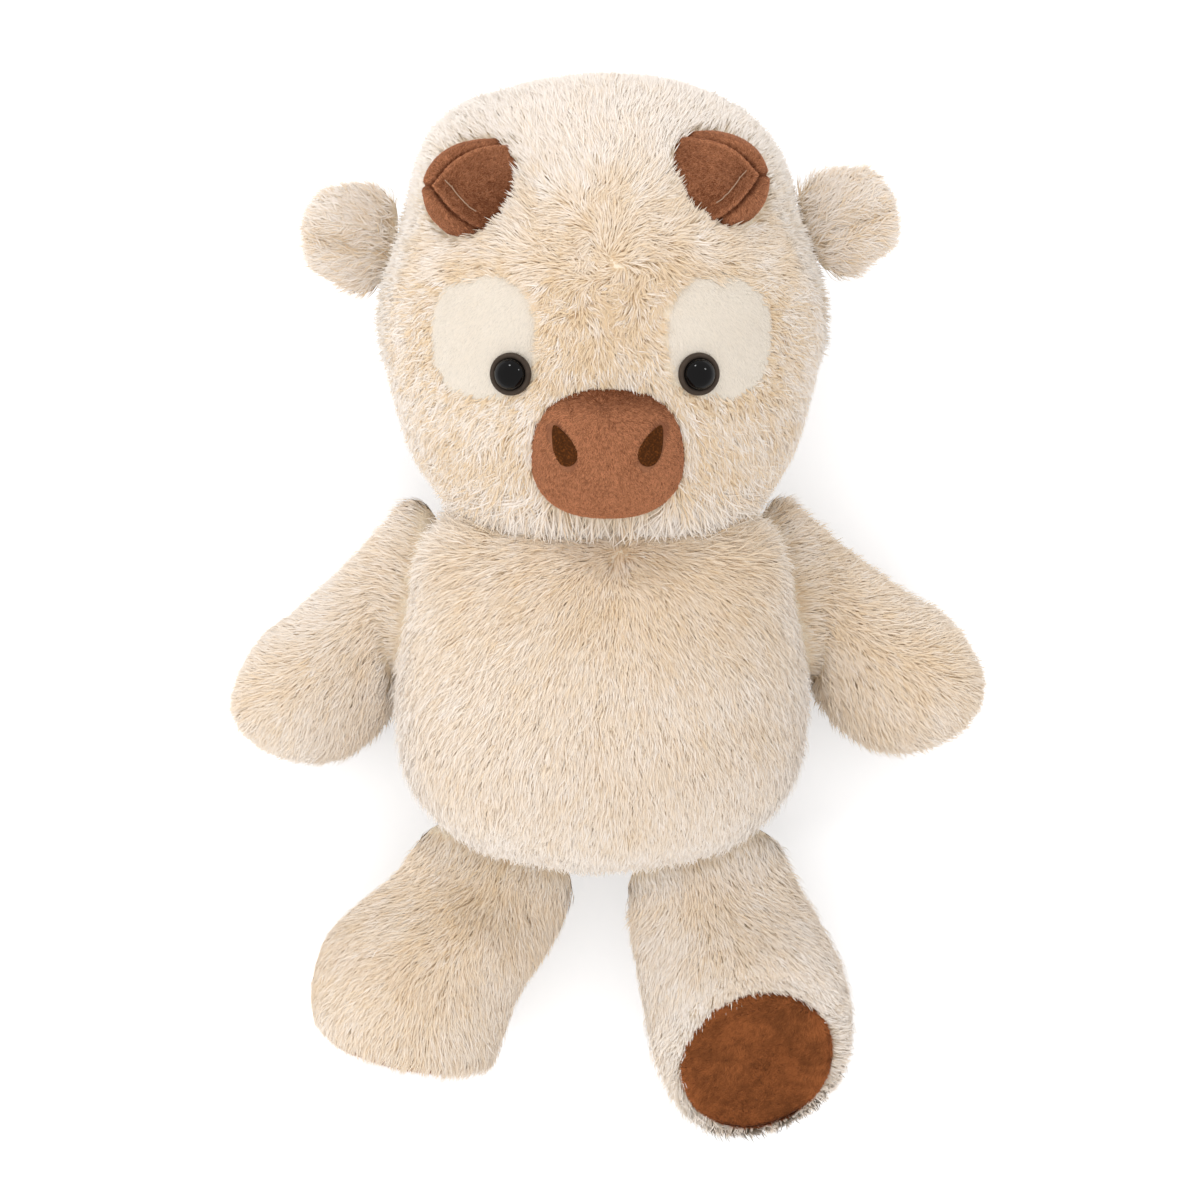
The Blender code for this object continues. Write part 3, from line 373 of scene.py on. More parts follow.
class Seam:
    """The frame of a sewn root: out points away from the body, along runs along the seam, front is the limb's face."""

    def __init__(self, place, turn, droop=0.0):
        self.place = np.array(place, float)
        flat = np.array([math.cos(turn), math.sin(turn), 0.0])
        self.out = flat * math.cos(droop) - np.array([0.0, 0.0, math.sin(droop)])
        self.along = np.array([-math.sin(turn), math.cos(turn), 0.0])
        self.front = np.cross(self.out, self.along)

    def world(self, local):
        return local @ np.array([self.out, self.along, self.front]) + self.place

    def local(self, points):
        return (points - self.place) @ np.array([self.out, self.along, self.front]).T


def lobe(middle, way, wide, deep, close, root, seam_half, grow, around, behind):
    """A stuffed limb in its seam's frame: a spheroid about the seam, and from there ellipses on the middle line, wide
    along way and deep across, times close."""
    angles = np.linspace(0, 2 * np.pi, around, endpoint=False)
    start = middle[0]
    ahead = unit(np.gradient(middle, axis=0))
    middle = middle + ahead * (grow * (1 - close**2))[:, None]
    back = np.linspace(-np.pi / 2, 0, behind + 2)[1:-1]
    rings = np.zeros((behind + len(middle) - 1, around, 3))
    rings[:behind, :, 0] = ((root + grow) * np.sin(back))[:, None]
    rings[:behind, :, 1] = start[1] + ((seam_half + grow) * np.cos(back))[:, None] * np.cos(angles)
    rings[:behind, :, 2] = ((root + grow) * np.cos(back))[:, None] * np.sin(angles)
    spread = ((wide + grow) * close)[:-1, None, None] * way[:-1, None, :] * np.cos(angles)[None, :, None]
    rings[behind:, :, :2] = middle[:-1, None, :] + spread
    rings[behind:, :, 2] = ((deep + grow) * close)[:-1, None] * np.sin(angles)
    return with_poles(rings, (-(root + grow), start[1], 0.0), (*middle[-1], 0.0))


def tip_places(count):
    """Places along a limb from 0 to 1, closer together towards its round tip."""
    return np.sin(np.linspace(0, np.pi / 2, count))


def limb_from_edges(top, low, depths, blunt, reach, seam_half, half_depth, root, grow, mirror, count, around, behind):
    """A lobe between two edges, which are given in shares of its reach and of half its seam."""
    size = np.array([reach, seam_half])
    places = tip_places(count)
    upper = open_spline(np.array(top) * size, places * (len(top) - 1))
    lower = open_spline(np.array(low) * size, places * (len(low) - 1))
    middle = (upper + lower) / 2
    half = (upper - lower) / 2
    deep = root + (half_depth - root) * open_spline(depths, places * (len(depths) - 1))
    if mirror:
        middle[:, 1] *= -1
        half[:, 0] *= -1
    wide = np.linalg.norm(half, axis=1)
    close = np.sqrt(1 - places**blunt)
    return lobe(middle, half / wide[:, None], wide, deep, close, root, seam_half, grow, around, behind)


def arm_lobe(side, grow, count=52, around=96, behind=9):
    return limb_from_edges(
        ARM_TOP_SHARES, ARM_LOW_SHARES, ARM_DEPTH_SHARES, ARM_BLUNT, ARM_REACH, ARM_SEAM, ARM_HALF_DEPTH, ARM_ROOT,
        grow, side == "right", count, around, behind,
    )


def leg_lobe(side, grow, count=60, around=104, behind=9):
    """The leg's lobe, from shares along its middle line."""
    places = tip_places(count)
    read = places * (len(LEG_WIDTH_SHARES) - 1)
    wide = LEG_SEAM + (LEG_HALF_WIDTH - LEG_SEAM) * open_spline(LEG_WIDTH_SHARES, read)
    deep = LEG_ROOT + (LEG_HALF_DEPTH - LEG_ROOT) * open_spline(LEG_DEPTH_SHARES, read)
    drift = OUTWARDS[side] * LEG_HALF_WIDTH * open_spline(LEG_BEND_SHARES[side], read)
    middle = np.stack([LEG_REACH[side] * places, drift], axis=-1)
    way = np.stack([np.zeros(count), np.ones(count)], axis=-1)
    close = np.sqrt(1 - places ** LEG_BLUNT[side])
    return lobe(middle, way, wide, deep, close, LEG_ROOT, LEG_SEAM, grow, around, behind)


def ear_lobe(side, grow, count=36, around=72, behind=6):
    return limb_from_edges(
        EAR_TOP_SHARES, EAR_LOW_SHARES, EAR_DEPTH_SHARES, EAR_BLUNT, EAR_REACH, EAR_SEAM, EAR_HALF_DEPTH, EAR_ROOT,
        grow, side == "right", count, around, behind,
    )


def droop_to_floor(local, place, turn):
    """The angle below level at which a limb just meets the floor, to the depth of its flat."""
    low, high = 0.0, math.radians(50)
    for _ in range(30):
        droop = (low + high) / 2
        if Seam(place, turn, droop).world(local)[..., 2].min() > -FLOOR_CUT:
            low = droop
        else:
            high = droop
    return low


def body_ring(grow, angles):
    reach = closed_spline(BODY_SHARES, angles) * BODY_HALF_WIDTH + grow
    return np.stack([reach * np.cos(angles), reach * np.sin(angles)], axis=-1)


def arm_seam(side):
    sign = OUTWARDS[side]
    angles = np.linspace(-0.5 * np.pi, 0.5 * np.pi, 181)
    ring = body_ring(0.0, angles if side == "left" else np.pi - angles)
    x = BODY_CENTRE[0] + np.interp(ARM_SEAM_Y - BODY_CENTRE[1], ring[:, 1], ring[:, 0]) + sign * ARM_SEAM_OUT
    turn = math.radians(ARM_TURN[side])
    turn = turn if side == "left" else math.pi - turn
    place = (x, ARM_SEAM_Y, ARM_SEAM_Z)
    return Seam(place, turn, droop_to_floor(arm_lobe(side, 0.0, 10, 18, 3), place, turn))


def leg_seam(side):
    sign = OUTWARDS[side]
    ring = body_ring(LEG_SEAM_OUT, np.linspace(-np.pi, 0, 181))
    y = BODY_CENTRE[1] + np.interp(sign * LEG_SEAM_X, ring[:, 0], ring[:, 1])
    turn = -math.pi / 2 + sign * math.radians(LEG_TURN[side])
    place = (BODY_CENTRE[0] + sign * LEG_SEAM_X, y, LEG_SEAM_Z)
    return Seam(place, turn, droop_to_floor(leg_lobe(side, 0.0, 10, 18, 3), place, turn))


def ear_seam(side):
    at = math.radians(EAR_AT[side])
    reach = closed_spline(HEAD_SHARES, np.array([at]))[0] * HEAD_RADIUS + EAR_SEAM_OUT
    place = (HEAD_CENTRE[0] + reach * math.cos(at), HEAD_CENTRE[1] + reach * math.sin(at), EAR_SEAM_Z)
    return Seam(place, math.radians(EAR_TURN[side]))


def sole_frame(side):
    """The middle of the sole, and its outward, across and upward directions."""
    seam = leg_seam(side)
    share, sign = SOLE_PLACE_SHARES[side], OUTWARDS[side]
    local = np.array([share[0] * LEG_REACH[side], sign * share[1] * LEG_HALF_WIDTH, share[2] * LEG_HALF_DEPTH])
    way = SOLE_DIRECTION_SHARES[side]
    out = unit(way[0] * seam.out + sign * way[1] * seam.along + way[2] * seam.front)
    across = unit(np.cross(out, (0.0, 1.0, 0.0)))
    return seam.world(local), out, across, np.cross(out, across)


def from_sole(points, middle, out):
    """How far points are beyond the sole's plane, their way out from its middle in the plane and how long that is."""
    away = points - middle
    deep = away @ out
    flat = away - deep[..., None] * out
    return deep, flat, np.linalg.norm(flat, axis=-1)


# Meshes

def mesh_object(name, points, faces, uv=None, material=None, facing=None):
    """An object at the origin. Faces are one array of equal faces, or a list of arrays; uv gives each corner's place
    and facing the direction that each point is lit from."""
    groups = faces if isinstance(faces, list) else [faces]
    mesh = bpy.data.meshes.new(name)
    mesh.vertices.add(len(points))
    mesh.vertices.foreach_set("co", np.asarray(points, np.float32).ravel())
    corners = np.concatenate([g.ravel() for g in groups])
    sizes = np.concatenate([np.full(len(g), g.shape[1]) for g in groups])
    mesh.loops.add(len(corners))
    mesh.loops.foreach_set("vertex_index", corners.astype(np.int32))
    mesh.polygons.add(len(sizes))
    mesh.polygons.foreach_set("loop_start", (np.cumsum(sizes) - sizes).astype(np.int32))
    mesh.polygons.foreach_set("use_smooth", np.ones(len(sizes), bool))
    if uv is not None:
        for map_name in ("Surface", "OFBake"):
            layer = mesh.uv_layers.new(name=map_name)
            layer.data.foreach_set("uv", np.asarray(uv, np.float32).ravel())
    mesh.update(calc_edges=True)
    if facing is not None:
        layer = mesh.attributes.new("custom_normal", "FLOAT_VECTOR", "POINT")
        layer.data.foreach_set("vector", np.asarray(facing, np.float32).ravel())
    if material is not None:
        mesh.materials.append(material)
    made = bpy.data.objects.new(name, mesh)
    bpy.context.scene.collection.objects.link(made)
    return made


def grid_faces(rows, columns, sign):
    """Quads and pole triangles of a closed grid whose first and last rows are poles, one point each."""
    inner = rows - 2
    ring, place = np.meshgrid(np.arange(inner - 1), np.arange(columns), indexing="ij")
    after = (place + 1) % columns
    low = 1 + ring * columns
    quads = np.stack([low + place, low + after, low + columns + after, low + columns + place], axis=-1).reshape(-1, 4)
    k = np.arange(columns)
    after = (k + 1) % columns
    start = np.stack([np.zeros_like(k), 1 + after, 1 + k], axis=-1)
    top = 1 + (inner - 1) * columns
    end = np.stack([np.full_like(k, top + columns), top + k, top + after], axis=-1)
    tris = np.concatenate([start, end])
    return (quads, tris) if sign > 0 else (quads[:, ::-1], tris[:, ::-1])


def single(points):
    """A grid's points with each pole once."""
    return np.concatenate([points[0, :1], points[1:-1].reshape(-1, 3), points[-1, :1]])


def skin(name, form, material, thickness=0.0):
    """A form as a closed surface, or as cloth of a thickness: a second wall inside it faces its hollow."""
    quads, tris = grid_faces(form.rows, form.columns, form.sign)
    points = single(form.points)
    if thickness:
        inner = rest_on_floor(form.points - form.normal * thickness, form.points[..., 2].min() + thickness)
        quads = np.concatenate([quads, quads[:, ::-1] + len(points)])
        tris = np.concatenate([tris, tris[:, ::-1] + len(points)])
        points = np.concatenate([points, single(inner)])
    return mesh_object(name, points, [quads, tris], material=material)


def ribbons(name, root, normal, way, length, rise, tone, width, material, rng, stations, curve, pull, lit):
    """Pile: each ribbon starts at root, runs along way and rises off the surface by rise times (1 - (1 - t)^2), less
    curve times its reach squared over 2, so that it follows the form. It narrows to a point at t = 1, where pull has
    moved it. It is lit as the surface under it, plus lit, turned by a part of its own roll, as a bundle of round
    fibres is."""
    count, roll = len(root), 0.2
    side = unit(np.cross(normal, way))
    turn = np.clip(rng.normal(0, roll, count), -2 * roll, 2 * roll)[:, None]
    across = side * np.cos(turn) + normal * np.sin(turn)
    bend = rng.normal(0, 0.10, count)
    t = np.append(np.array(stations), 1.0)
    half = 0.5 * width * (1 - 0.55 * t[:-1, None] ** 2)
    reach = t[:, None] * length
    lift = (1 - (1 - t[:, None]) ** 2) * rise - 0.5 * curve * reach**2
    line = root + reach[..., None] * way + lift[..., None] * normal
    line = line + (bend * length * t[:, None] ** 2)[..., None] * side + (t[:, None] ** 1.3)[..., None] * pull
    rows = [line[k] + s * half[k][:, None] * across for k in range(len(stations)) for s in (1.0, -1.0)]
    points = rest_on_floor(np.stack([*rows, line[-1]], axis=1), FLOOR_LIFT)
    per = 2 * len(stations) + 1
    first = (np.arange(count) * per)[:, None]
    u = 0.01 + 0.97 * np.clip(tone, 0, 1)
    v = 0.015 + 0.97 * t

    def place(k, part):
        return np.stack([u + part * 3.0 / 512, np.full(count, v[k])], axis=-1)

    groups, maps = [], []
    for k in range(len(stations) - 1):
        groups.append(first + (2 * k, 2 * k + 1, 2 * k + 3, 2 * k + 2))
        maps.append(np.stack([place(k, 0), place(k, 1), place(k + 1, 1), place(k + 1, 0)], axis=1))
    groups.append(first + (per - 3, per - 2, per - 1))
    maps.append(np.stack([place(-2, 0), place(-2, 1), place(-1, 0.5)], axis=1))
    uv = np.concatenate([each.reshape(-1, 2) for each in maps])
    facing = np.repeat(unit(normal + lit + 0.3 * np.cross(way, across)), per, axis=0)
    return mesh_object(name, points.reshape(-1, 3), groups, uv, material, facing)


def lathe(profile, foot, axis, around):
    """A profile of (radius, height) pairs turned about axis from foot."""
    profile = np.asarray(profile, float)
    axis = unit(np.asarray(axis, float))
    across = unit(np.cross(axis, (0.0, 1.0, 0.0)))
    beside = np.cross(axis, across)
    angles = np.linspace(0, 2 * np.pi, around, endpoint=False)
    circle = np.cos(angles)[:, None] * across + np.sin(angles)[:, None] * beside
    return np.asarray(foot) + profile[:, 1][:, None, None] * axis + profile[:, 0][:, None, None] * circle


def pillow(outline, surface, thick, rows):
    """A pad on a surface: its outline is scaled by the sine of an angle from 0 to pi, and it stands off the surface by
    the cosine to the power 0.4, times thick. surface(x, y) gives the place and its normal."""
    angle = np.linspace(np.pi, 0, rows)
    size = np.sin(angle)
    size[[0, -1]] = 0.0
    height = np.sign(np.cos(angle)) * np.abs(np.cos(angle)) ** 0.4 * thick
    x = size[:, None] * outline[:, 0] + (1 - size[:, None]) * outline[:, 0].mean()
    y = size[:, None] * outline[:, 1] + (1 - size[:, None]) * outline[:, 1].mean()
    place, normal = surface(x, y)
    return place + height[:, None, None] * normal


def rounded(half_width, half_height, square, angles):
    """A superellipse outline: |x/a|^square + |y/b|^square = 1."""
    cos, sin = np.cos(angles), np.sin(angles)
    x = np.sign(cos) * np.abs(cos) ** (2 / square) * half_width
    y = np.sign(sin) * np.abs(sin) ** (2 / square) * half_height
    return np.stack([x, y], axis=-1)


# Finishes

def new_material(name, roughness, sheen=0.0, specular=0.5):
    made = bpy.data.materials.new(name)
    made.use_nodes = True
    tree = made.node_tree
    shader = tree.nodes["Principled BSDF"]
    shader.inputs["Roughness"].default_value = roughness
    shader.inputs["Sheen Weight"].default_value = sheen
    shader.inputs["Sheen Roughness"].default_value = 0.5
    shader.inputs["Specular IOR Level"].default_value = specular
    return made, tree, shader


def mix(tree, part, first, second):
    """A mixed colour. Each value is a socket or a constant."""
    node = tree.nodes.new("ShaderNodeMix")
    node.data_type = "RGBA"
    for socket, value in ((node.inputs[0], part), (node.inputs[6], first), (node.inputs[7], second)):
        if isinstance(value, bpy.types.NodeSocket):
            tree.links.new(value, socket)
        elif np.ndim(value):
            socket.default_value = (*value, 1.0)
        else:
            socket.default_value = value
    return node.outputs[2]


def math_node(tree, operation, *values):
    node = tree.nodes.new("ShaderNodeMath")
    node.operation = operation
    for socket, value in zip(node.inputs, values):
        if isinstance(value, bpy.types.NodeSocket):
            tree.links.new(value, socket)
        else:
            socket.default_value = value
    return node.outputs[0]


def ramp(tree, value, low, high):
    """value from low to high, mapped to 0 to 1 smoothly."""
    node = tree.nodes.new("ShaderNodeMapRange")
    node.interpolation_type = "SMOOTHSTEP"
    tree.links.new(value, node.inputs["Value"])
    node.inputs["From Min"].default_value = low
    node.inputs["From Max"].default_value = high
    return node.outputs["Result"]


def object_noise(tree, scale, detail=3.0):
    """Noise on Object coordinates."""
    place = tree.nodes.new("ShaderNodeTexCoord").outputs["Object"]
    node = tree.nodes.new("ShaderNodeTexNoise")
    node.inputs["Scale"].default_value = scale
    node.inputs["Detail"].default_value = detail
    tree.links.new(place, node.inputs["Vector"])
    return node.outputs["Fac"]


def bump(tree, shader, height, distance):
    node = tree.nodes.new("ShaderNodeBump")
    node.inputs["Distance"].default_value = distance
    node.inputs["Strength"].default_value = 1.0
    tree.links.new(height, node.inputs["Height"])
    tree.links.new(node.outputs["Normal"], shader.inputs["Normal"])


def fibre_material(name, root, root_tan, tip, tip_tan, roughness=0.85, sheen=0.25, specular=0.15):
    """Colour from the piece's own map: across it from tan to pale, and up it from a fibre's root to its tip."""
    made, tree, shader = new_material(name, roughness, sheen, specular)
    through = tree.nodes.new("ShaderNodeBsdfTranslucent")
    both = tree.nodes.new("ShaderNodeMixShader")
    both.inputs["Fac"].default_value = 0.12
    tree.links.new(shader.outputs["BSDF"], both.inputs[1])
    tree.links.new(through.outputs["BSDF"], both.inputs[2])
    tree.links.new(both.outputs["Shader"], tree.nodes["Material Output"].inputs["Surface"])
    uv = tree.nodes.new("ShaderNodeUVMap")
    uv.uv_map = "Surface"
    parts = tree.nodes.new("ShaderNodeSeparateXYZ")
    tree.links.new(uv.outputs["UV"], parts.inputs["Vector"])
    tone, along = parts.outputs["X"], ramp(tree, parts.outputs["Y"], 0.0, 0.6)
    low, high = mix(tree, tone, root_tan, root), mix(tree, tone, tip_tan, tip)
    colour = mix(tree, along, low, high)
    tree.links.new(colour, shader.inputs["Base Color"])
    tree.links.new(colour, through.inputs["Color"])
    return made


def cloth_material(name, colour, darker, scale, patch_scale, roughness, sheen, depth):
    """Short-napped cloth: broad patches where the nap lies differently, fine fibres in colour, roughness and bump."""
    made, tree, shader = new_material(name, roughness, sheen, 0.25)
    fine = object_noise(tree, scale, 4.0)
    patches = ramp(tree, object_noise(tree, patch_scale, 4.0), 0.36, 0.68)
    part = math_node(tree, "ADD", math_node(tree, "MULTIPLY", patches, 0.55), math_node(tree, "MULTIPLY", fine, 0.55))
    tree.links.new(mix(tree, part, darker, colour), shader.inputs["Base Color"])
    rough = math_node(tree, "MULTIPLY_ADD", fine, 0.2, roughness - 0.1)
    tree.links.new(rough, shader.inputs["Roughness"])
    bump(tree, shader, fine, depth)
    return made


class Finishes:
    """The materials, made once from the settings."""

    made = {}

    @classmethod
    def get(cls, name):
        if not cls.made:
            cls.make()
        return cls.made[name]

    @classmethod
    def make(cls):
        pile, trim = bpy.context.scene.plush_pile, bpy.context.scene.plush_trim
        velour, dark, sole = np.array(trim.velour), np.array(trim.velour_dark), np.array(trim.sole)
        panel, backing = np.array(trim.panel), np.array(pile.root)
        cls.made = {
            "pile": fibre_material("cream_pile", pile.root, pile.root_tan, pile.tip, pile.tip_tan),
            "panel_pile": fibre_material(
                "eye_panel_pile", panel * 0.86, panel * 0.78, panel, panel * (0.97, 0.92, 0.86),
            ),
            "velour_nap": fibre_material(
                "velour_nap", velour * 0.7, dark * 0.6, velour * 1.48, dark, 0.8, 0.02, 0.05,
            ),
            "sole_nap": fibre_material("sole_nap", sole * 0.7, sole * 0.36, sole * 1.35, sole * 0.7, 0.8, 0.03, 0.06),
            "backing": cloth_material("fur_backing", backing, backing * 0.86, 900.0, 40.0, 0.95, 0.1, 0.0003),
            "panel": cloth_material("eye_panel_cloth", panel, panel * 0.86, 1400.0, 90.0, 0.9, 0.2, 0.0002),
            "velour": cloth_material("brown_velour_cloth", velour * 0.8, dark, 1500.0, 110.0, 0.9, 0.05, 0.0003),
            "sole": cloth_material("sole_suede", sole * 1.15, sole * 0.62, 1300.0, 120.0, 0.85, 0.3, 0.0003),
            "stuffing": cloth_material(
                "stuffing_fibre", (0.85, 0.85, 0.83), (0.66, 0.66, 0.64), 260.0, 60.0, 1.0, 0.2, 0.0012,
            ),
            "washer": cls.washer(),
            "thread": cls.thread(np.array(trim.thread)),
            "stitch": cloth_material(
                "stitch_thread", (0.42, 0.27, 0.18), (0.30, 0.17, 0.10), 2200.0, 300.0, 0.7, 0.1, 0.0001,
            ),
            "eye": cls.eye(np.array(trim.eye)),
            "rim": cls.rim(np.array(trim.rim)),
        }

    @staticmethod
    def washer():
        made, tree, shader = new_material("washer_nylon", 0.45)
        grain = object_noise(tree, 700.0)
        tree.links.new(mix(tree, grain, (0.74, 0.74, 0.71), (0.86, 0.86, 0.83)), shader.inputs["Base Color"])
        bump(tree, shader, grain, 0.00008)
        return made

    @staticmethod
    def thread(colour):
        made, tree, shader = new_material("nostril_satin", 0.7, 0.0, 0.06)
        grain = object_noise(tree, 1500.0, 4.0)
        light = ramp(tree, grain, 0.45, 0.75)
        tree.links.new(mix(tree, light, colour * 0.6, colour * 1.6), shader.inputs["Base Color"])
        bump(tree, shader, grain, 0.0002)
        return made

    @staticmethod
    def eye(colour):
        made, tree, shader = new_material("eye_gloss", 0.04, specular=0.15)
        dust = ramp(tree, object_noise(tree, 420.0, 5.0), 0.55, 0.9)
        tree.links.new(math_node(tree, "MULTIPLY_ADD", dust, 0.04, 0.06), shader.inputs["Roughness"])
        tree.links.new(mix(tree, dust, colour, colour * 2.0), shader.inputs["Base Color"])
        return made

    @staticmethod
    def rim(colour):
        made, tree, shader = new_material("eye_rim_gloss", 0.4, specular=0.08)
        cloud = object_noise(tree, 500.0, 3.0)
        tree.links.new(mix(tree, cloud, colour * 0.7, colour * 1.4), shader.inputs["Base Color"])
        tree.links.new(math_node(tree, "MULTIPLY_ADD", cloud, 0.2, 0.3), shader.inputs["Roughness"])
        return made


# Pile

def comb(name, form, dense, seed, nap, weight, tone, width, body, curve, cover=None, long=None, high=None, room=None,
         lit=None, size=None, tuft=None, per_tuft=9, stations=(0.0, 0.45), wander=0.09, jitter=0.08, clump=0.2,
         material="pile"):
    """Scatters tufts over a form and combs each along nap. A tuft's fibres lean to its middle line at their tips.

    weight, tone, long, high and room are grids over the form: how dense, how pale, how long and how high the pile is
    and how far the next form is, which the pile's height keeps to. dense is the number of fibres to the square
    millimetre of weight, or of cover. lit is what is added to the direction that the pile is lit from, where fibres
    that stand at an edge catch the light from above. size is a fibre's length and rise, and wander, jitter and clump
    are how much the tufts' ways and tones vary and how far a tuft closes.
    """
    pile = bpy.context.scene.plush_pile
    count = int(dense * PER_SQUARE_METRE * (form.area * (weight if cover is None else cover)).sum() * pile.density)
    rng = np.random.default_rng(pile.seed * 1000 + seed)
    weight = np.clip(weight * 1.0, 0, None)
    if room is not None:
        weight = weight * (room > -0.0004)
    tufts = max(count // per_tuft, 1)
    row, column = form.scatter(tufts, weight, rng)
    middle = form.read(form.points, row, column)
    facing = unit(form.read(form.normal, row, column))
    which = np.sort(rng.integers(0, tufts, count))
    spread = (tuft or pile.tuft) * rng.normal(0, 0.75, (2, count))
    ahead = np.maximum(np.linalg.norm(form.read(form.ahead, row, column), axis=1), 1e-5)[which]
    around = np.maximum(np.linalg.norm(form.read(form.round, row, column), axis=1), 2e-5)[which]
    rows = row[which] + spread[0] / ahead
    columns = column[which] + spread[1] / around
    root = form.read(form.points, rows, columns)
    normal = unit(form.read(form.normal, rows, columns))
    way = nap(form, middle, facing, row, column)
    swing = rng.normal(0, wander, tufts)[:, None]
    way = way * np.cos(swing) + np.cross(facing, way) * np.sin(swing)
    way = flattened(way[which] + rng.normal(0, 0.13, (count, 3)), normal)
    apart = root - middle[which]
    pull = -clump * (apart - dot(apart, way)[:, None] * way)

    def here(grid, default=0.0):
        return np.full(count, default) if grid is None else form.read(grid, rows, columns)

    base_long, base_high = size or (pile.length, pile.rise)
    tuft_long = rng.uniform(0.86, 1.12, tufts)[which]
    length = base_long * here(long, 1.0) * tuft_long * rng.uniform(0.72, 1.12, count)
    fuzz = np.where(rng.random(count) < 0.10, 1.6, 1.0)
    rise = base_high * here(high, 1.0) * rng.uniform(0.7, 1.1, count) * fuzz
    if room is not None:
        tip_row = rows + dot(way, unit(here(form.ahead))) * length / ahead
        tip_column = columns + dot(way, unit(here(form.round))) * length / around
        rise = np.minimum(rise, 0.0005 + 0.5 * np.clip(here(room), 0, None))
        length = length * np.clip(0.35 + form.read(room, tip_row, tip_column) / 0.006, 0.35, 1.0)
    shade = here(tone) + rng.normal(0, 1.4 * jitter, tufts)[which] + rng.normal(0, jitter, count)
    shade += 0.22 * (noise(root, 0.009, seed) - 0.5) + 0.2 * (noise(root, 0.03, seed + 1) - 0.5)
    made = ribbons(
        name, root, normal, way, length, rise, shade, width * pile.width, Finishes.get(material), rng, stations, curve,
        pull, 0.0 if lit is None else here(lit),
    )
    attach(made, body)


def falls(centre, sizes, points):
    """1 at centre and falling off like a bell by sizes along X and Y."""
    away = (points[..., :2] - centre) / sizes
    return np.exp(-0.5 * (away**2).sum(-1))


def swirl(points, normal, way, size, seed, most):
    """way turned round normal by a smooth random angle of up to most, which changes over size."""
    way = flattened(way, normal)
    angle = ((2 * noise(points, size, seed) - 1) * most)[:, None]
    return way * np.cos(angle) + np.cross(normal, way) * np.sin(angle)


def head_nap(form, points, normal, row, column):
    """The pile runs away from a whorl on the brow, round which it curls, and down the back of the head."""
    away = points - BROW_WHORL
    far = np.linalg.norm(away, axis=1)
    back = smooth(0.05, 0.015, points[:, 2])[:, None]
    way = away / far[:, None] * (1 - back) + np.array([0.0, -1.0, -0.2]) * back
    return swirl(points, normal, way, 0.006, 33, 0.35 + 2.2 * bell(far, 0.0, 0.024))


def body_nap(form, points, normal, row, column):
    """The pile fans out and down from the chest, and runs straight down the back."""
    away = points - CHEST_WHORL
    far = np.linalg.norm(away, axis=1)
    shoulder = smooth(0.026, 0.042, np.abs(points[:, 0] + 0.002)) * smooth(0.004, 0.020, points[:, 1])
    way = away / (far + 0.010)[:, None] + (0.0, -0.38, 0.0) + shoulder[:, None] * (0.0, 0.75, 0.0)
    back = smooth(0.05, 0.02, points[:, 2])[:, None]
    way = way * (1 - back) + np.array([0.0, -1.0, 0.0]) * back
    return swirl(points, normal, way, 0.008, 34, 0.22 + 1.2 * bell(far, 0.0, 0.012))


def limb_nap(seam, reach, fan, back_fan, ring=None):
    """The pile runs along a limb and fans out from its front's middle line to both edges. Round a sole, which ring
    gives as its middle, its direction and how far the pile spreads, it stands outwards."""
    def nap(form, points, normal, row, column):
        place = seam.local(points)
        share = place[:, 0] / reach
        ahead = unit(form.read(form.ahead, row, column))
        across = unit(form.read(form.round, row, column))
        angle = 2 * np.pi * column / form.columns
        much = back_fan + (fan - back_fan) * np.clip(np.sin(angle) + 0.4, 0, 1)
        much = much * (1 - 0.5 * smooth(0.8, 1.0, share))
        way = ahead - (np.tanh(2.0 * np.cos(angle)) * much)[:, None] * across
        start = smooth(0.006, -0.001, place[:, 0])[:, None]
        way = way * (1 - start) + start * (seam.out + 0.12 * normal)
        if ring is not None:
            middle, out, spread = ring
            deep, flat, disc = from_sole(points, middle, out)
            part = smooth(-0.008, -0.002, deep) * smooth(2.0, 1.3, disc / SOLE_RADIUS)
            part = part * smooth(-0.35, 0.15, dot(unit(flat), seam.out) + 1.0 - spread)
            way = way * (1 - part[:, None]) + part[:, None] * (spread * unit(flat) + (1.3 - spread) * out)
        return swirl(points, normal, way, 0.008, 35, 0.28)
    return nap


def limb_height(name, x, y, reach):
    """How high a limb's pile stands, by the direction (x, y) that its surface faces and by how far along it is."""
    if name == "left_arm":
        high = 1.0 + 0.5 * np.clip(np.abs(y), 0, 1)
    elif name == "right_arm":
        high = 1.0 - 0.3 * np.clip(y, 0, 1) + 0.15 * np.clip(-y, 0, 1)
    elif name == "left_leg":
        high = 1.0 + 1.1 * np.clip(-0.6 * x - 0.8 * y, 0, 1) ** 2 + 0.3 * np.clip(x, 0, 1)
        high = high - 0.8 * np.clip(-x, 0, 1) * smooth(0.6, 0.4, reach)
    else:
        high = 1.0 - 0.55 * np.clip(-x, 0, 1) - 0.3 * np.clip(x, 0, 1) * smooth(0.7, 0.5, reach)
    return high + 0.5 * smooth(0.35, 0.0, reach)


# Forms that more than one piece needs

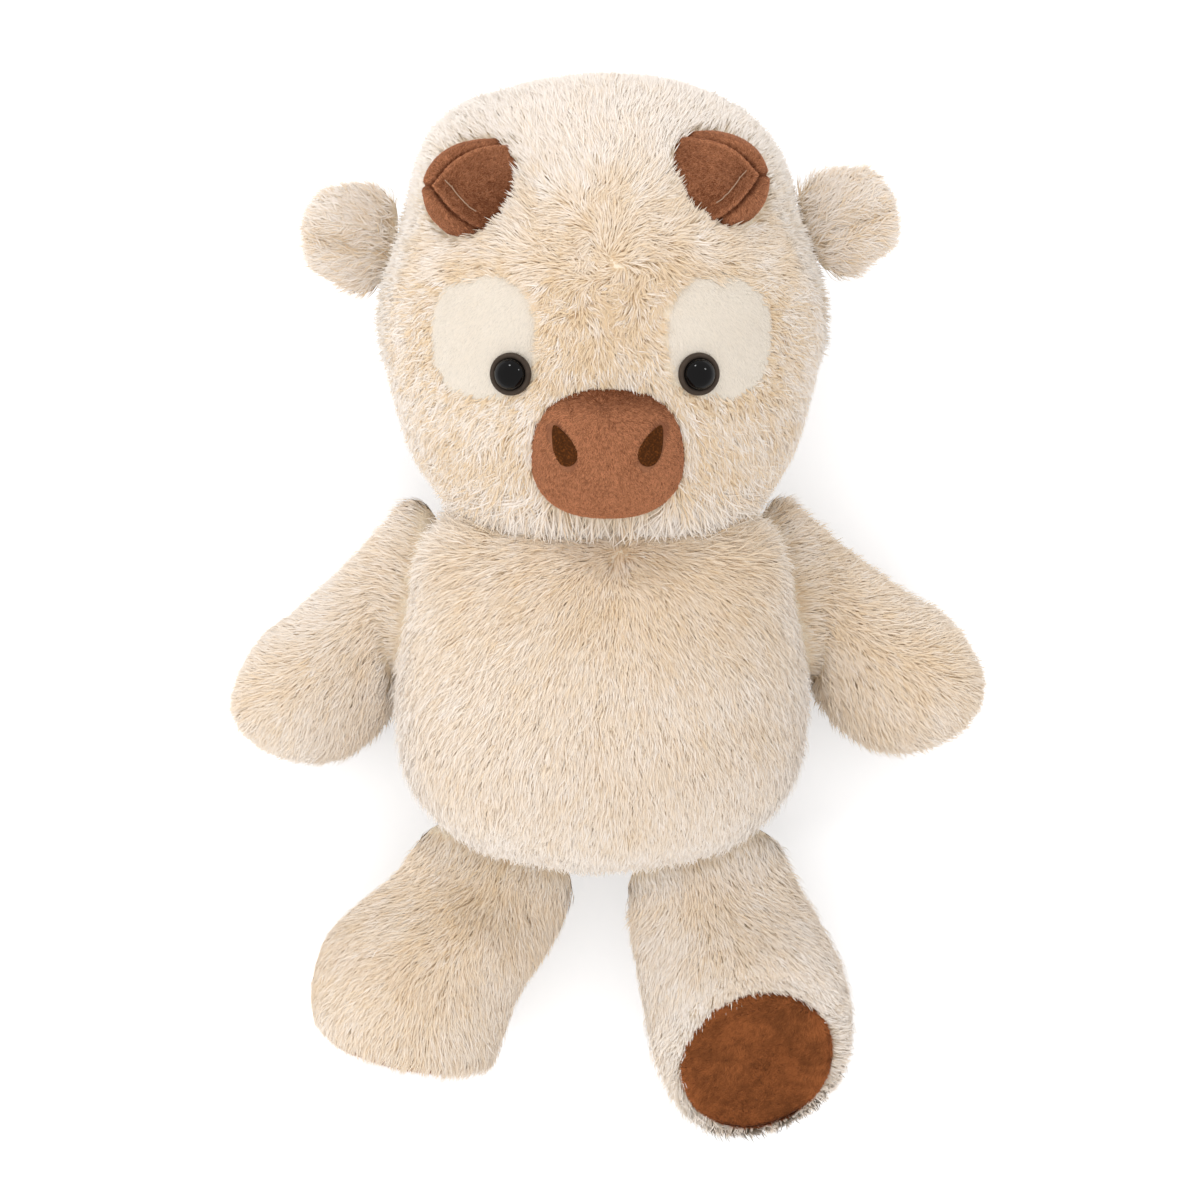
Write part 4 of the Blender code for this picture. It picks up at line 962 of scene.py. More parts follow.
class Forms:
    """The backing's forms and the rooms between them, each worked out once."""

    kept = {}

    @classmethod
    def get(cls, name):
        if name not in cls.kept:
            cls.kept[name] = cls.make(name)
        return cls.kept[name]

    @classmethod
    def make(cls, name):
        side, _, part = name.partition("_")
        if name == "head":
            points = waisted(head_points(-SKIN_IN))
        elif name == "body":
            points = body_points(-SKIN_IN)
        elif part == "arm":
            seam = arm_seam(side)
            upper = np.sign(seam.along[1])
            local = rooted(arm_lobe(side, -SKIN_IN), upper, ARM_SEAM, ROOT_SWELL[name], ARM_ROOT_SQUARE)
            points = seam.world(local)
        elif part == "leg":
            seam = leg_seam(side)
            outer = np.sign(seam.along[0]) * OUTWARDS[side]
            local = rooted(leg_lobe(side, -SKIN_IN), outer, LEG_SEAM, ROOT_SWELL[name])
            points = leg_end(side, seam.world(local), 0.0)
        elif part == "ear":
            points = ear_seam(side).world(ear_dented(side, ear_lobe(side, -EAR_IN)))
        elif part == "horn":
            points = horn_points(side)
        elif name == "snout":
            points = snout_points()
        return Form(rest_on_floor(points, COVER_LIFT))

    @classmethod
    def room(cls, name, *others):
        key = ("room", name, others)
        if key not in cls.kept:
            cls.kept[key] = cls.get(name).gap_to([cls.get(other) for other in others])
        return cls.kept[key]


def waisted(points):
    """The head drawn in at both sides where the ears are sewn on, by bells along Y and Z."""
    out = points.copy()
    x, y, z = points[..., 0], points[..., 1], points[..., 2]
    part = np.exp(-(((y - WAIST_Y) / WAIST_LONG) ** 2) - ((z - WAIST_Z) / WAIST_DEEP) ** 4)
    out[..., 0] *= 1 - WAIST_SHARE * part * smooth(0.0, 0.070, np.abs(x))
    return out


def rooted(local, way, seam_half, swell, square=0.0):
    """A limb's lobe whose root swells along the seam on one side, by a bell along the limb, to meet the body. Behind
    the seam its edge on that side closes later, by (1 - u^2)^-square, where u is the depth as a share of the root's."""
    out = local.copy()
    deep = np.clip(local[..., 0] / local[..., 0].min(), 0, 0.98)
    out[..., 1] *= np.where(local[..., 1] * way > 0, (1 - deep**2) ** -square, 1.0)
    part = bell(local[..., 0], -0.003, 0.013) * smooth(0.0, 0.75, local[..., 1] * way / seam_half)
    out[..., 1] += way * swell * part
    return out


def leg_end(side, points, grow):
    """The leg's end is cut flat behind its sole: a point beyond the plane goes back along the sole's direction. The
    right leg's end narrows to its sole by a quarter ellipse."""
    middle, out, _, _ = sole_frame(side)
    beyond = (points - middle) @ out + SOLE_GAP - grow
    points = points - np.clip(beyond, 0, None)[..., None] * out
    if side == "right":
        deep, flat, disc = from_sole(points, middle, out)
        part = 1 - np.clip(-(deep + SOLE_GAP - grow) / SOLE_TAPER_DEEP, 0, 1)
        most = SOLE_RADIUS - 0.001 + grow + SOLE_TAPER_WIDE * np.sqrt(1 - part**2)
        close = np.minimum(1.0, most / np.maximum(disc, 1e-6)) - 1
        points = points + np.where(part > 0, close, 0.0)[..., None] * flat
    return points


def ear_fold(side, local, long, wide):
    """1 on the fold in the lower half of an ear's front, and falling off by long along it and by wide across it."""
    x, y = local[..., 0], local[..., 1]
    far = ((OUTWARDS[side] * y + 0.25 * EAR_SEAM) / wide) ** 2
    return np.exp(-(((x - 0.45 * EAR_REACH) / (long * EAR_REACH)) ** 4) - far) * (local[..., 2] > 0)


def ear_dented(side, local):
    """The ear's lobe, spread at its root, with a fold in the lower half of its front: a hollow along it."""
    local = local.copy()
    local[..., 0] *= np.where(local[..., 0] < 0, 2.0, 1.0)
    local[..., 1] *= 1 + 0.42 * bell(local[..., 0], 0.0, 0.4 * EAR_REACH)
    local[..., 2] -= 0.55 * local[..., 2] * ear_fold(side, local, 0.38, 0.0032)
    return local


def horn_frame(side):
    """The horn's foot, its axis, the direction across it that faces the camera, and the one beside that."""
    x, y = HORN_X[side], HORN_Y[side]
    foot = np.array([x, y, float(face_height(x, y)) - HORN_SUNK])
    axis = unit(np.array(HORN_AXIS_SHARES[side]))
    front = unit(UP - axis[2] * axis)
    return foot, axis, front, np.cross(axis, front)


def horn_seams(side, points):
    """How far a point is past the front panel's edge, and 1 on the crease behind the tip. The two edges start at the
    tip, outwards of the axis, and spread to the upper and the lower side of the front."""
    foot, _, front, beside = horn_frame(side)
    u, v = (points - foot) @ front + HORN_TIP_OUT, (points - foot) @ beside * np.sign(beside[1])
    turn = np.radians(np.where(v > 0, HORN_UPPER_SPREAD, HORN_LOWER_SPREAD))
    past = np.abs(v) * np.cos(turn) - u * np.sin(turn)
    return past, bell(v, 0.0, 0.0009) * smooth(0.0, -0.001, u)


def horn_points(side, grow=0.0, rows=92, around=160):
    """Three stuffed panels round an axis: at angle a up the side it stands LENGTH sin(a)^0.8 along the axis and RADIUS
    cos(a)^0.6 off it. The front panel's folded edges stand over a dip in the panels beside it."""
    foot, axis, front, beside = horn_frame(side)
    tilt = np.linspace(0, np.pi / 2, rows - 1)
    along = HORN_LENGTH * np.sin(tilt) ** 0.8 + grow
    radius = HORN_RADIUS * np.cos(tilt) ** 0.6 * (1.07 - 0.07 * np.sin(tilt)) + grow
    radius[-1] = 0.0
    angle = np.linspace(-np.pi, np.pi, around, endpoint=False)
    round_ = np.cos(angle)[:, None] * front + np.sin(angle)[:, None] * beside
    points = foot + along[:, None, None] * axis + radius[:, None, None] * round_
    points = np.concatenate([np.broadcast_to(foot, (1, around, 3)), points])
    past, crease = horn_seams(side, points)
    slope = bell(np.clip(past, 0, None), 0.0, 0.0040) * smooth(0.0, 0.0008, past)
    fold = 0.0019 * bell(past, 0.0009, 0.0007) + 0.0014 * slope
    ridge = 0.0007 * bell(past, -0.0007, 0.0009) + 0.0006 * bell(past, 0.0045, 0.0018)
    inside = 0.0012 * smooth(-0.001, -0.006, past)
    height = ridge - fold - inside - 0.0012 * crease + 0.0004 * (noise(points, 0.006, 5) - 0.5)
    return points + height[..., None] * Form(points).normal


def snout_surface(x, y):
    """Height of the snout's front over (x, y): the face's height at its middle, and twice its proud by the same power
    as its outline, with a shallow dent at each nostril and a seam up from the chin."""
    part = np.abs(x / SNOUT_HALF_WIDTH) ** SNOUT_SQUARE + np.abs((y - SNOUT_Y) / SNOUT_HALF_HEIGHT) ** SNOUT_SQUARE
    rise = np.clip(1 - part, 0, 1) ** (1 / SNOUT_SQUARE) * (2 * SNOUT_PROUD)
    base = float(face_height(0.0, SNOUT_Y)) - SNOUT_PROUD
    dent = sum(nostril_shade(side, x, y) for side in SIDES)
    seam = bell(x, 0.0, 0.0006) * smooth(-0.008, -0.014, y - SNOUT_Y)
    return base + rise - 0.0009 * dent - 0.0004 * seam


def nostril_shade(side, x, y):
    """1 along a nostril, falling off outside it."""
    lean = math.radians(NOSTRIL_LEAN)
    dx = OUTWARDS[side] * x - NOSTRIL_X
    dy = y - SNOUT_Y - NOSTRIL_RISE
    along = dx * math.sin(lean) + dy * math.cos(lean)
    across = dx * math.cos(lean) - dy * math.sin(lean)
    return np.exp(-((across / 0.0028) ** 2) - (along / 0.0085) ** 4)


def snout_points(grow=0.0, rows=76, around=140):
    """A superellipse cushion whose front half stands out of the face and whose back half follows it."""
    angles = np.linspace(0, 2 * np.pi, around, endpoint=False)
    tilt = np.linspace(-np.pi / 2, np.pi / 2, rows)
    flat = rounded(SNOUT_HALF_WIDTH + grow, SNOUT_HALF_HEIGHT + grow, SNOUT_SQUARE, angles)
    size = np.cos(tilt) ** (2 / SNOUT_SQUARE)
    size[[0, -1]] = 0.0
    height = np.sign(tilt) * np.abs(np.sin(tilt)) ** (2 / SNOUT_SQUARE) * (2 * SNOUT_PROUD + grow)
    points = np.empty((rows, around, 3))
    points[..., :2] = size[:, None, None] * flat
    points[..., 1] += SNOUT_Y
    points[..., 2] = float(face_height(0.0, SNOUT_Y)) - SNOUT_PROUD + height[:, None]
    front = tilt > 0.15
    x, y = points[front, :, 0], points[front, :, 1]
    dent = sum(nostril_shade(side, x, y) for side in SIDES)
    seam = bell(x, 0.0, 0.0007) * smooth(-0.006, -0.012, y - SNOUT_Y)
    points[front, :, 2] -= 0.0009 * dent + 0.0005 * seam + 0.0007 * (noise(points[front], 0.008, 3) - 0.5)
    points[..., 2] = np.maximum(points[..., 2], face_height(points[..., 0], points[..., 1]) - 0.0042)
    return points


def in_snout(points, share):
    """Whether points are inside the snout's outline, scaled by share."""
    x, y = points[..., 0] / SNOUT_HALF_WIDTH / share, (points[..., 1] - SNOUT_Y) / SNOUT_HALF_HEIGHT / share
    return (np.abs(x) ** SNOUT_SQUARE + np.abs(y) ** SNOUT_SQUARE < 1) & (points[..., 2] > HEAD_CENTRE[2])


def panel_measure(side, points):
    """Below 1 inside an eye panel's outline, 1 on it."""
    x, y = points[..., 0] - PANEL_X[side], points[..., 1] - PANEL_Y
    size = np.abs(x / PANEL_HALF_WIDTH) ** PANEL_SQUARE + np.abs(y / PANEL_HALF_HEIGHT) ** PANEL_SQUARE
    return np.where(points[..., 2] > HEAD_CENTRE[2], size ** (1 / PANEL_SQUARE), 9.0)


def in_horn(side, points):
    foot, axis, _, _ = horn_frame(side)
    away = points - foot
    along = away @ axis
    radius = np.linalg.norm(away - along[..., None] * axis, axis=-1)
    return (radius < HORN_RADIUS) & (along > 0)


def carry(made, body, nodes=()):
    """The calls that tie a piece to its body and hide the solids that it stands for."""
    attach(made, body)
    if nodes:
        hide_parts(*nodes)
    return made


def filling(name, points, body):
    """The filling's form, a little inside its cover, with the lumps of loose fibre."""
    form = Form(rest_on_floor(points, FILLING_LIFT))
    lumps = 0.0022 * noise(form.points, 0.007, 21) + 0.0010 * noise(form.points, 0.003, 22)
    form.points = rest_on_floor(form.points - lumps[..., None] * form.normal, FILLING_LIFT)
    made = skin(name, form, Finishes.get("stuffing"))
    carry(made, body, (name.replace("_fibre", ""),))


# Operators

class PLUSH_OT_body(bpy.types.Operator):
    """Makes the body's cover, its filling and its pile"""

    bl_idname = "plush_cow.body"
    bl_label = "Body"

    def execute(self, context):
        form = Forms.get("body")
        made = skin("body_backing", form, Finishes.get("backing"), BACKING)
        carry(made, "trunk", ("body_cover",))
        filling("body_stuffing_fibre", body_points(-FILLING_IN, around=96, levels=56), "trunk")
        room = Forms.room("body", "head", "left_arm", "right_arm", "left_leg", "right_leg")
        p, front = form.points, form.points[..., 2] > BODY_FRONT_Z
        # Darker on the chest under the chin: painted shade under the head. Paler where the body turns away from the
        # camera, towards its outline: painted light at the edges
        tone = 0.68 - 0.36 * falls((0.004, 0.010), (0.045, 0.020), p) - 0.10 * falls((0.0, -0.03), (0.03, 0.04), p)
        tone = tone + 0.05 * smooth(-0.04, -0.09, p[..., 1]) + 0.25 * smooth(0.7, 0.2, form.normal[..., 2])
        shoulder = smooth(0.026, 0.040, np.abs(p[..., 0] + 0.002)) * smooth(0.004, 0.020, p[..., 1])
        edge = smooth(0.4, 0.0, form.normal[..., 2]) * smooth(0.0, -0.03, p[..., 1])
        high, long = 1.05 + 0.5 * edge + 1.3 * shoulder, 0.92 + 0.80 * shoulder
        room = room + 0.03 * shoulder
        upper = p[..., 1] > CHEST_Y
        regions = (
            ("body_pile_chest", front & upper, 3.3, 0.00044, 1),
            ("body_pile_belly", front & ~upper, 3.3, 0.00044, 2),
            ("body_pile_back", ~front, 1.35, 0.00068, 3),
        )
        for name, where, dense, width, seed in regions:
            comb(
                name, form, dense, seed, body_nap, where, tone, width, "trunk", 14.0, room=room, long=long, high=high,
            )
        return {"FINISHED"}


class PLUSH_OT_head(bpy.types.Operator):
    """Makes the head's cover, its filling and its pile"""

    bl_idname = "plush_cow.head"
    bl_label = "Head"

    def execute(self, context):
        form = Forms.get("head")
        made = skin("head_backing", form, Finishes.get("backing"), BACKING)
        carry(made, "head", ("head_cover",))
        filling("head_stuffing_fibre", head_points(-FILLING_IN, around=96, levels=60), "head")
        p = form.points
        room = Forms.room("head", "body", "left_arm", "right_arm")
        horn = bell(np.clip(Forms.room("head", "left_horn", "right_horn"), 0, None), 0.0, 0.004)
        bare = in_snout(p, 0.94)
        rim = np.full(p.shape[:2], 9.0)
        for side in SIDES:
            measure = panel_measure(side, p)
            rim = np.minimum(rim, np.abs(measure - 1.0))
            inner = panel_measure(side, p + (0.003 * OUTWARDS[side], 0.0, 0.0))
            bare |= (measure < 0.95) | (inner < 0.95) | in_horn(side, p)
        crown = smooth(0.125, 0.155, p[..., 1])
        near_rim = bell(rim, 0.0, 0.14)
        face = falls((0.0, 0.080), (0.040, 0.030), p) * (p[..., 2] > 0.06)
        chin = smooth(0.042, 0.030, p[..., 1]) * smooth(0.050, 0.070, p[..., 2])
        # Paler where the head turns away from the camera, towards its outline: painted light at the edges
        tone = 0.66 + 0.34 * crown + 0.24 * smooth(0.6, 0.2, form.normal[..., 2])
        tone = tone - 0.40 * falls((0.001, 0.108), (0.020, 0.014), p) - 0.38 * falls((0.0, 0.086), (0.012, 0.016), p)
        tone = tone - 0.30 * falls((-0.044, 0.050), (0.014, 0.010), p) - 0.16 * falls((0.044, 0.050), (0.014, 0.010), p)
        # Darker along the eye panels' rims: painted shade where the pile overhangs them
        tone = tone - 0.30 * near_rim - 0.10 * falls((0.0, 0.125), (0.030, 0.012), p)
        # Paler at the chin, which faces down away from the lamps: painted light
        tone = np.where(p[..., 2] > 0.05, tone, 0.75) + 0.5 * chin
        tone = tone + (1 - crown) * (0.4 * (noise(p, 0.008, 61) - 0.5) + 0.5 * (noise(p, 0.0035, 62) - 0.5))
        room = room + 0.022 * chin
        long = 1.0 + 0.20 * crown - 0.30 * face - 0.40 * near_rim + 1.5 * chin - 0.55 * horn
        turn = np.degrees(np.arctan2(p[..., 1] - 0.1, p[..., 0]))
        side = 0.40 * (bell(turn, 48, 16) + bell(turn, 132, 16)) + 0.45 * bell(turn, -38, 18)
        high = 1.0 + 0.12 * crown - 0.10 * face - 0.35 * near_rim - side * smooth(0.085, 0.06, p[..., 2]) + 0.5 * horn
        ear = bell(np.clip(Forms.room("head", "left_ear", "right_ear"), 0, None), 0.0, 0.004)
        high = high + 1.3 * chin + 0.3 * ear - 0.4 * crown * smooth(0.5, 0.2, form.normal[..., 2])
        lit = (1.5 * chin + 0.5 * ear)[..., None] * UP
        front, upper = p[..., 2] > HEAD_FRONT_Z, p[..., 1] > CROWN_Y
        regions = (
            ("head_pile_crown", front & upper, 3.2, 0.00044, 11),
            ("head_pile_face", front & ~upper, 4.0, 0.00042, 12),
            ("head_pile_back", ~front, 1.4, 0.00066, 13),
        )
        for name, where, dense, width, seed in regions:
            wander, jitter = (0.30, 0.24) if name == "head_pile_face" else (0.12, 0.08)
            comb(
                name, form, dense, seed, head_nap, where & ~bare, tone, width, "head", 13.0, room=room, long=long,
                high=high, wander=wander, jitter=jitter, lit=lit,
            )
        return {"FINISHED"}


class PLUSH_OT_panels(bpy.types.Operator):
    """Makes the short-pile eye panels that are let into the face"""

    bl_idname = "plush_cow.panels"
    bl_label = "Eye panels"

    def execute(self, context):
        angles = np.linspace(0, 2 * np.pi, 128, endpoint=False)
        for side in SIDES:
            outline = rounded(PANEL_HALF_WIDTH * 1.01, PANEL_HALF_HEIGHT * 1.01, PANEL_SQUARE, angles)
            outline = outline + (PANEL_X[side], PANEL_Y)

            def surface(x, y):
                z = face_height(x, y)
                normal = face_normal(x, y)
                away = np.hypot((x - PANEL_X[side]) / PANEL_HALF_WIDTH, (y - PANEL_Y) / PANEL_HALF_HEIGHT)
                z = z - 0.0016 + 0.0012 * np.clip(1 - away**2, 0, 1)
                return np.stack([x, y, z], axis=-1), normal

            form = Form(pillow(outline, surface, 0.0008, 60))
            name = side + "_eye_panel"
            carry(skin(name + "_cloth", form, Finishes.get("panel")), "head", (name,))
            top = np.zeros(form.points.shape[:2])
            top[form.rows // 2 - 6:] = 1.0
            eye = np.hypot(form.points[..., 0] - EYE_X[side], form.points[..., 1] - EYE_Y)
            top = top * (eye > EYE_RADIUS * 0.96)
            measure = panel_measure(side, form.points)
            # Darker towards the panel's edge: painted shade where the head's pile overhangs it
            tone = 0.95 - 0.4 * smooth(0.90, 1.0, measure)

            def nap(form, points, normal, row, column):
                way = unit(points - (0.0, 0.125, 0.116)) + (0.0, -0.35, 0.0)
                return flattened(way, normal)

            comb(
                name + "_pile", form, 11.0, 31 + (side == "left"), nap, top, tone, 0.00022, "head", 13.0,
                size=(0.0024, 0.0006), tuft=0.0008, per_tuft=3, stations=(0.0,), jitter=0.04, clump=0.15,
                material="panel_pile",
            )
        return {"FINISHED"}


class PLUSH_OT_eyes(bpy.types.Operator):
    """Makes the safety eyes: a glossy dome in a rim, on a post that the washer locks"""

    bl_idname = "plush_cow.eyes"
    bl_label = "Eyes"

    def execute(self, context):
        for side in SIDES:
            x, y = EYE_X[side], EYE_Y
            foot, axis = np.array([x, y, float(face_height(x, y))]), face_normal(x, y)
            arc = np.linspace(0, np.pi / 2, 28)
            dome = [(DOME_RADIUS * math.cos(a), DOME_FOOT + (EYE_HEIGHT - DOME_FOOT) * math.sin(a)) for a in arc]
            dome[-1] = (0.0, EYE_HEIGHT)
            made = skin(side + "_eye_dome", Form(lathe(POST + dome, foot, axis, 96)), Finishes.get("eye"))
            carry(made, "head", (side + "_eye",))
            ring = np.linspace(0, 2 * np.pi, 41)[:-1]
            radius, height = RIM_RADIUS + RIM_HALF_WIDTH * np.cos(ring), RIM_FOOT + RIM_HALF_HEIGHT * np.sin(ring)
            tube = np.stack([radius, height], axis=-1)
            points = lathe(tube, foot, axis, 120)
            i, j = np.meshgrid(np.arange(40), np.arange(120), indexing="ij")
            up, on = (i + 1) % 40, (j + 1) % 120
            quads = np.stack([i * 120 + j, up * 120 + j, up * 120 + on, i * 120 + on], axis=-1).reshape(-1, 4)
            a, b, c = (points.reshape(-1, 3)[quads[:, k]] for k in (0, 1, 2))
            if (np.cross(b - a, c - a) * (points - points.mean(0)).reshape(-1, 3)).sum() < 0:
                quads = quads[:, ::-1]
            rim = mesh_object(side + "_eye_rim", points.reshape(-1, 3), quads, material=Finishes.get("rim"))
            carry(rim, "head")
            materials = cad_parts[side + "_eye_washer"].data.materials
            materials.clear()
            materials.append(Finishes.get("washer"))
        return {"FINISHED"}


class PLUSH_OT_snout(bpy.types.Operator):
    """Makes the velour snout, its filling, its nap and the embroidered nostrils"""

    bl_idname = "plush_cow.snout"
    bl_label = "Snout"

    def execute(self, context):
        form = Forms.get("snout")
        made = skin("snout_velour", form, Finishes.get("velour"), SNOUT_CLOTH)
        carry(made, "head", ("snout_cover",))
        inner = snout_points(-0.0028, 48, 80)
        inner[..., 2] = np.maximum(inner[..., 2], face_height(inner[..., 0], inner[..., 1]) - 0.0030)
        filling("snout_stuffing_fibre", inner, "head")
        p = form.points
        top = (p[..., 2] > face_height(p[..., 0], p[..., 1]) + 0.0004) * 1.0
        top = top * (sum(nostril_shade(side, p[..., 0], p[..., 1]) for side in SIDES) < 0.25)
        dark = smooth(0.008, 0.020, p[..., 1] - SNOUT_Y)
        tone = 0.80 - 0.80 * dark

        def nap(form, points, normal, row, column):
            way = unit(points - (0.0, SNOUT_Y + 0.012, 0.13)) * 0.6 + (0.15, -0.5, 0.0)
            return flattened(way, normal)

        comb(
            "snout_nap", form, 17.0, 41, nap, top, tone, 0.00022, "head", 30.0, size=(0.0012, 0.00035), tuft=0.0005,
            per_tuft=4, stations=(0.0,), wander=0.5, jitter=0.16, material="velour_nap",
        )
        for side in SIDES:
            carry(self.nostril(side), "head", (side + "_nostril",))
        return {"FINISHED"}

    @staticmethod
    def nostril(side):
        """Satin stitching in a drop shape: threads side by side across it, puffed in the middle."""
        sign, lean = OUTWARDS[side], math.radians(NOSTRIL_LEAN)
        angle = np.linspace(0, 2 * np.pi, 160, endpoint=False)
        sweep = np.linspace(np.pi, 0, 40)
        size = np.sin(sweep)
        size[[0, -1]] = 0.0
        along = NOSTRIL_LENGTH / 2 * np.sin(angle) * size[:, None]
        wide = 1 - NOSTRIL_TAPER * 1.05 * along / (NOSTRIL_LENGTH / 2)
        across = NOSTRIL_WIDTH / 2 * np.cos(angle) * size[:, None] * wide * 1.6
        x = sign * (NOSTRIL_X + along * math.sin(lean) + across * math.cos(lean))
        y = SNOUT_Y + NOSTRIL_RISE + along * math.cos(lean) - across * math.sin(lean)
        thread = np.abs(np.sin(np.pi * (along + 0.12 * across) / THREAD_PITCH))
        height = np.cos(sweep)[:, None] * THREAD_PUFF + THREAD_RADIUS * thread * (np.cos(sweep)[:, None] > 0)
        z = snout_surface(x, y) + 0.0001 + height
        return skin(side + "_nostril_thread", Form(np.stack([x, y, z], axis=-1)), Finishes.get("thread"))


class PLUSH_OT_horns(bpy.types.Operator):
    """Makes the velour horns of three panels, their fillings, nap and the stitch on the front panel"""

    bl_idname = "plush_cow.horns"
    bl_label = "Horns"

    def execute(self, context):
        for side in SIDES:
            form = Forms.get(side + "_horn")
            made = skin(side + "_horn_velour", form, Finishes.get("velour"), HORN_CLOTH)
            carry(made, "head", (side + "_horn_cover",))
            filling(side + "_horn_stuffing_fibre", horn_points(side, -0.0026, 40, 72), "head")
            p = form.points
            foot, axis, _, _ = horn_frame(side)
            along = (p - foot) @ axis
            top = (p[..., 2] > face_height(p[..., 0], p[..., 1]) - 0.001) & (along > 0.008)
            past, crease = horn_seams(side, p)
            # The front panel's velour is darker, and darker towards its bottom. Its folded edge is paler, a painted
            # highlight, with a painted shade line just past it, and the crease behind the tip is darker: painted shade
            tone = np.where(past < 0, 0.26 + 16 * np.clip(p[..., 1] - foot[1], -0.012, 0.012), 0.60) - 0.4 * crease
            tone = tone + 0.5 * bell(past, -0.0007, 0.0008) - 0.7 * bell(past, 0.0010, 0.0008)
            long = 1 + 1.3 * smooth(0.0040, 0.0010, p[..., 2] - face_height(p[..., 0], p[..., 1]))

            def nap(form, points, normal, row, column):
                way = -form.read(form.ahead, row, column) + 0.2 * form.read(form.round, row, column)
                return flattened(way, normal)

            comb(
                side + "_horn_nap", form, 18.0, 51 + (side == "left"), nap, top, tone, 0.00020, "head", 50.0, long=long,
                size=(0.0010, 0.0003), tuft=0.0005, per_tuft=4, stations=(0.0,), wander=0.4, jitter=0.15,
                material="velour_nap",
            )
            carry(self.stitch(side, form), "head")
        return {"FINISHED"}

    @staticmethod
    def stitch(side, form):
        """A thread on the front panel along the lower edge: where the panel is cut by a plane beside it."""
        foot, axis, front, beside = horn_frame(side)
        share = np.linspace(0.08, 0.88, 60)
        u, v = (form.points - foot) @ front, (form.points - foot) @ beside * np.sign(beside[1])
        want_u, want_v = -0.0015 + 0.0125 * share, 0.0035 - 0.0120 * share
        far = (u[None] - want_u[:, None, None]) ** 2 + (v[None] - want_v[:, None, None]) ** 2
        far = far + ((form.points - foot) @ axis < 0.010)[None] * 1.0
        near = far.reshape(len(share), -1).argmin(1)
        kernel = np.hanning(9) / np.hanning(9).sum()
        spots = form.points.reshape(-1, 3)[near]
        middle = np.stack([np.convolve(np.pad(line, 4, mode="edge"), kernel, "valid") for line in spots.T], axis=-1)
        normal = unit(form.normal.reshape(-1, 3)[near])
        middle = middle + normal * (0.00045 + 0.00012 * np.abs(np.sin(share * 60)))[:, None]
        ahead = unit(np.gradient(middle, axis=0))
        across = np.cross(ahead, normal)
        turn = np.linspace(0, 2 * np.pi, 8, endpoint=False)
        ring = np.cos(turn)[None, :, None] * across[:, None] + np.sin(turn)[None, :, None] * normal[:, None]
        tube = middle[:, None] + STITCH_RADIUS * ring
        return skin(side + "_horn_stitch", Form(with_poles(tube, middle[0], middle[-1])), Finishes.get("stitch"))


class PLUSH_OT_ears(bpy.types.Operator):
    """Makes each ear's front and back panels and their pile"""

    bl_idname = "plush_cow.ears"
    bl_label = "Ears"

    def execute(self, context):
        for side in SIDES:
            seam, form = ear_seam(side), Forms.get(side + "_ear")
            local = ear_dented(side, ear_lobe(side, -EAR_IN))
            for name, sign in (("front", 1.0), ("back", -1.0)):
                half = local.copy()
                half[..., 2] = np.maximum(half[..., 2] * sign, 0.0002) * sign
                made = skin(f"{side}_ear_{name}_backing", Form(seam.world(half)), Finishes.get("backing"))
                carry(made, side + "_ear", (f"{side}_ear_{name}",))
            place = seam.local(form.points)
            root = smooth(-0.004, 0.0, place[..., 0])
            fold = ear_fold(side, place, 0.45, 0.004)
            # Darker along the fold in the ear's lower half: painted shade in the fold
            tone = 0.84 - 0.40 * fold
            out = place[..., 0] / EAR_REACH
            lit = (0.7 * smooth(0.4, 0.0, out))[..., None] * UP
            long = 0.85 + 0.3 * smooth(0.5, 0.1, out)
            high = 1.10 - 0.2 * fold + 0.3 * smooth(0.45, 0.0, out) - 0.4 * smooth(0.0, -0.8, form.normal[..., 1])
            comb(
                side + "_ear_pile", form, 4.6, 61 + (side == "left"), limb_nap(seam, EAR_REACH, 0.45, 0.4), root, tone,
                0.00036, side + "_ear", 32.0, cover=root > 0.02, long=long, high=high, lit=lit, per_tuft=6, wander=0.35,
                jitter=0.20,
            )
        return {"FINISHED"}


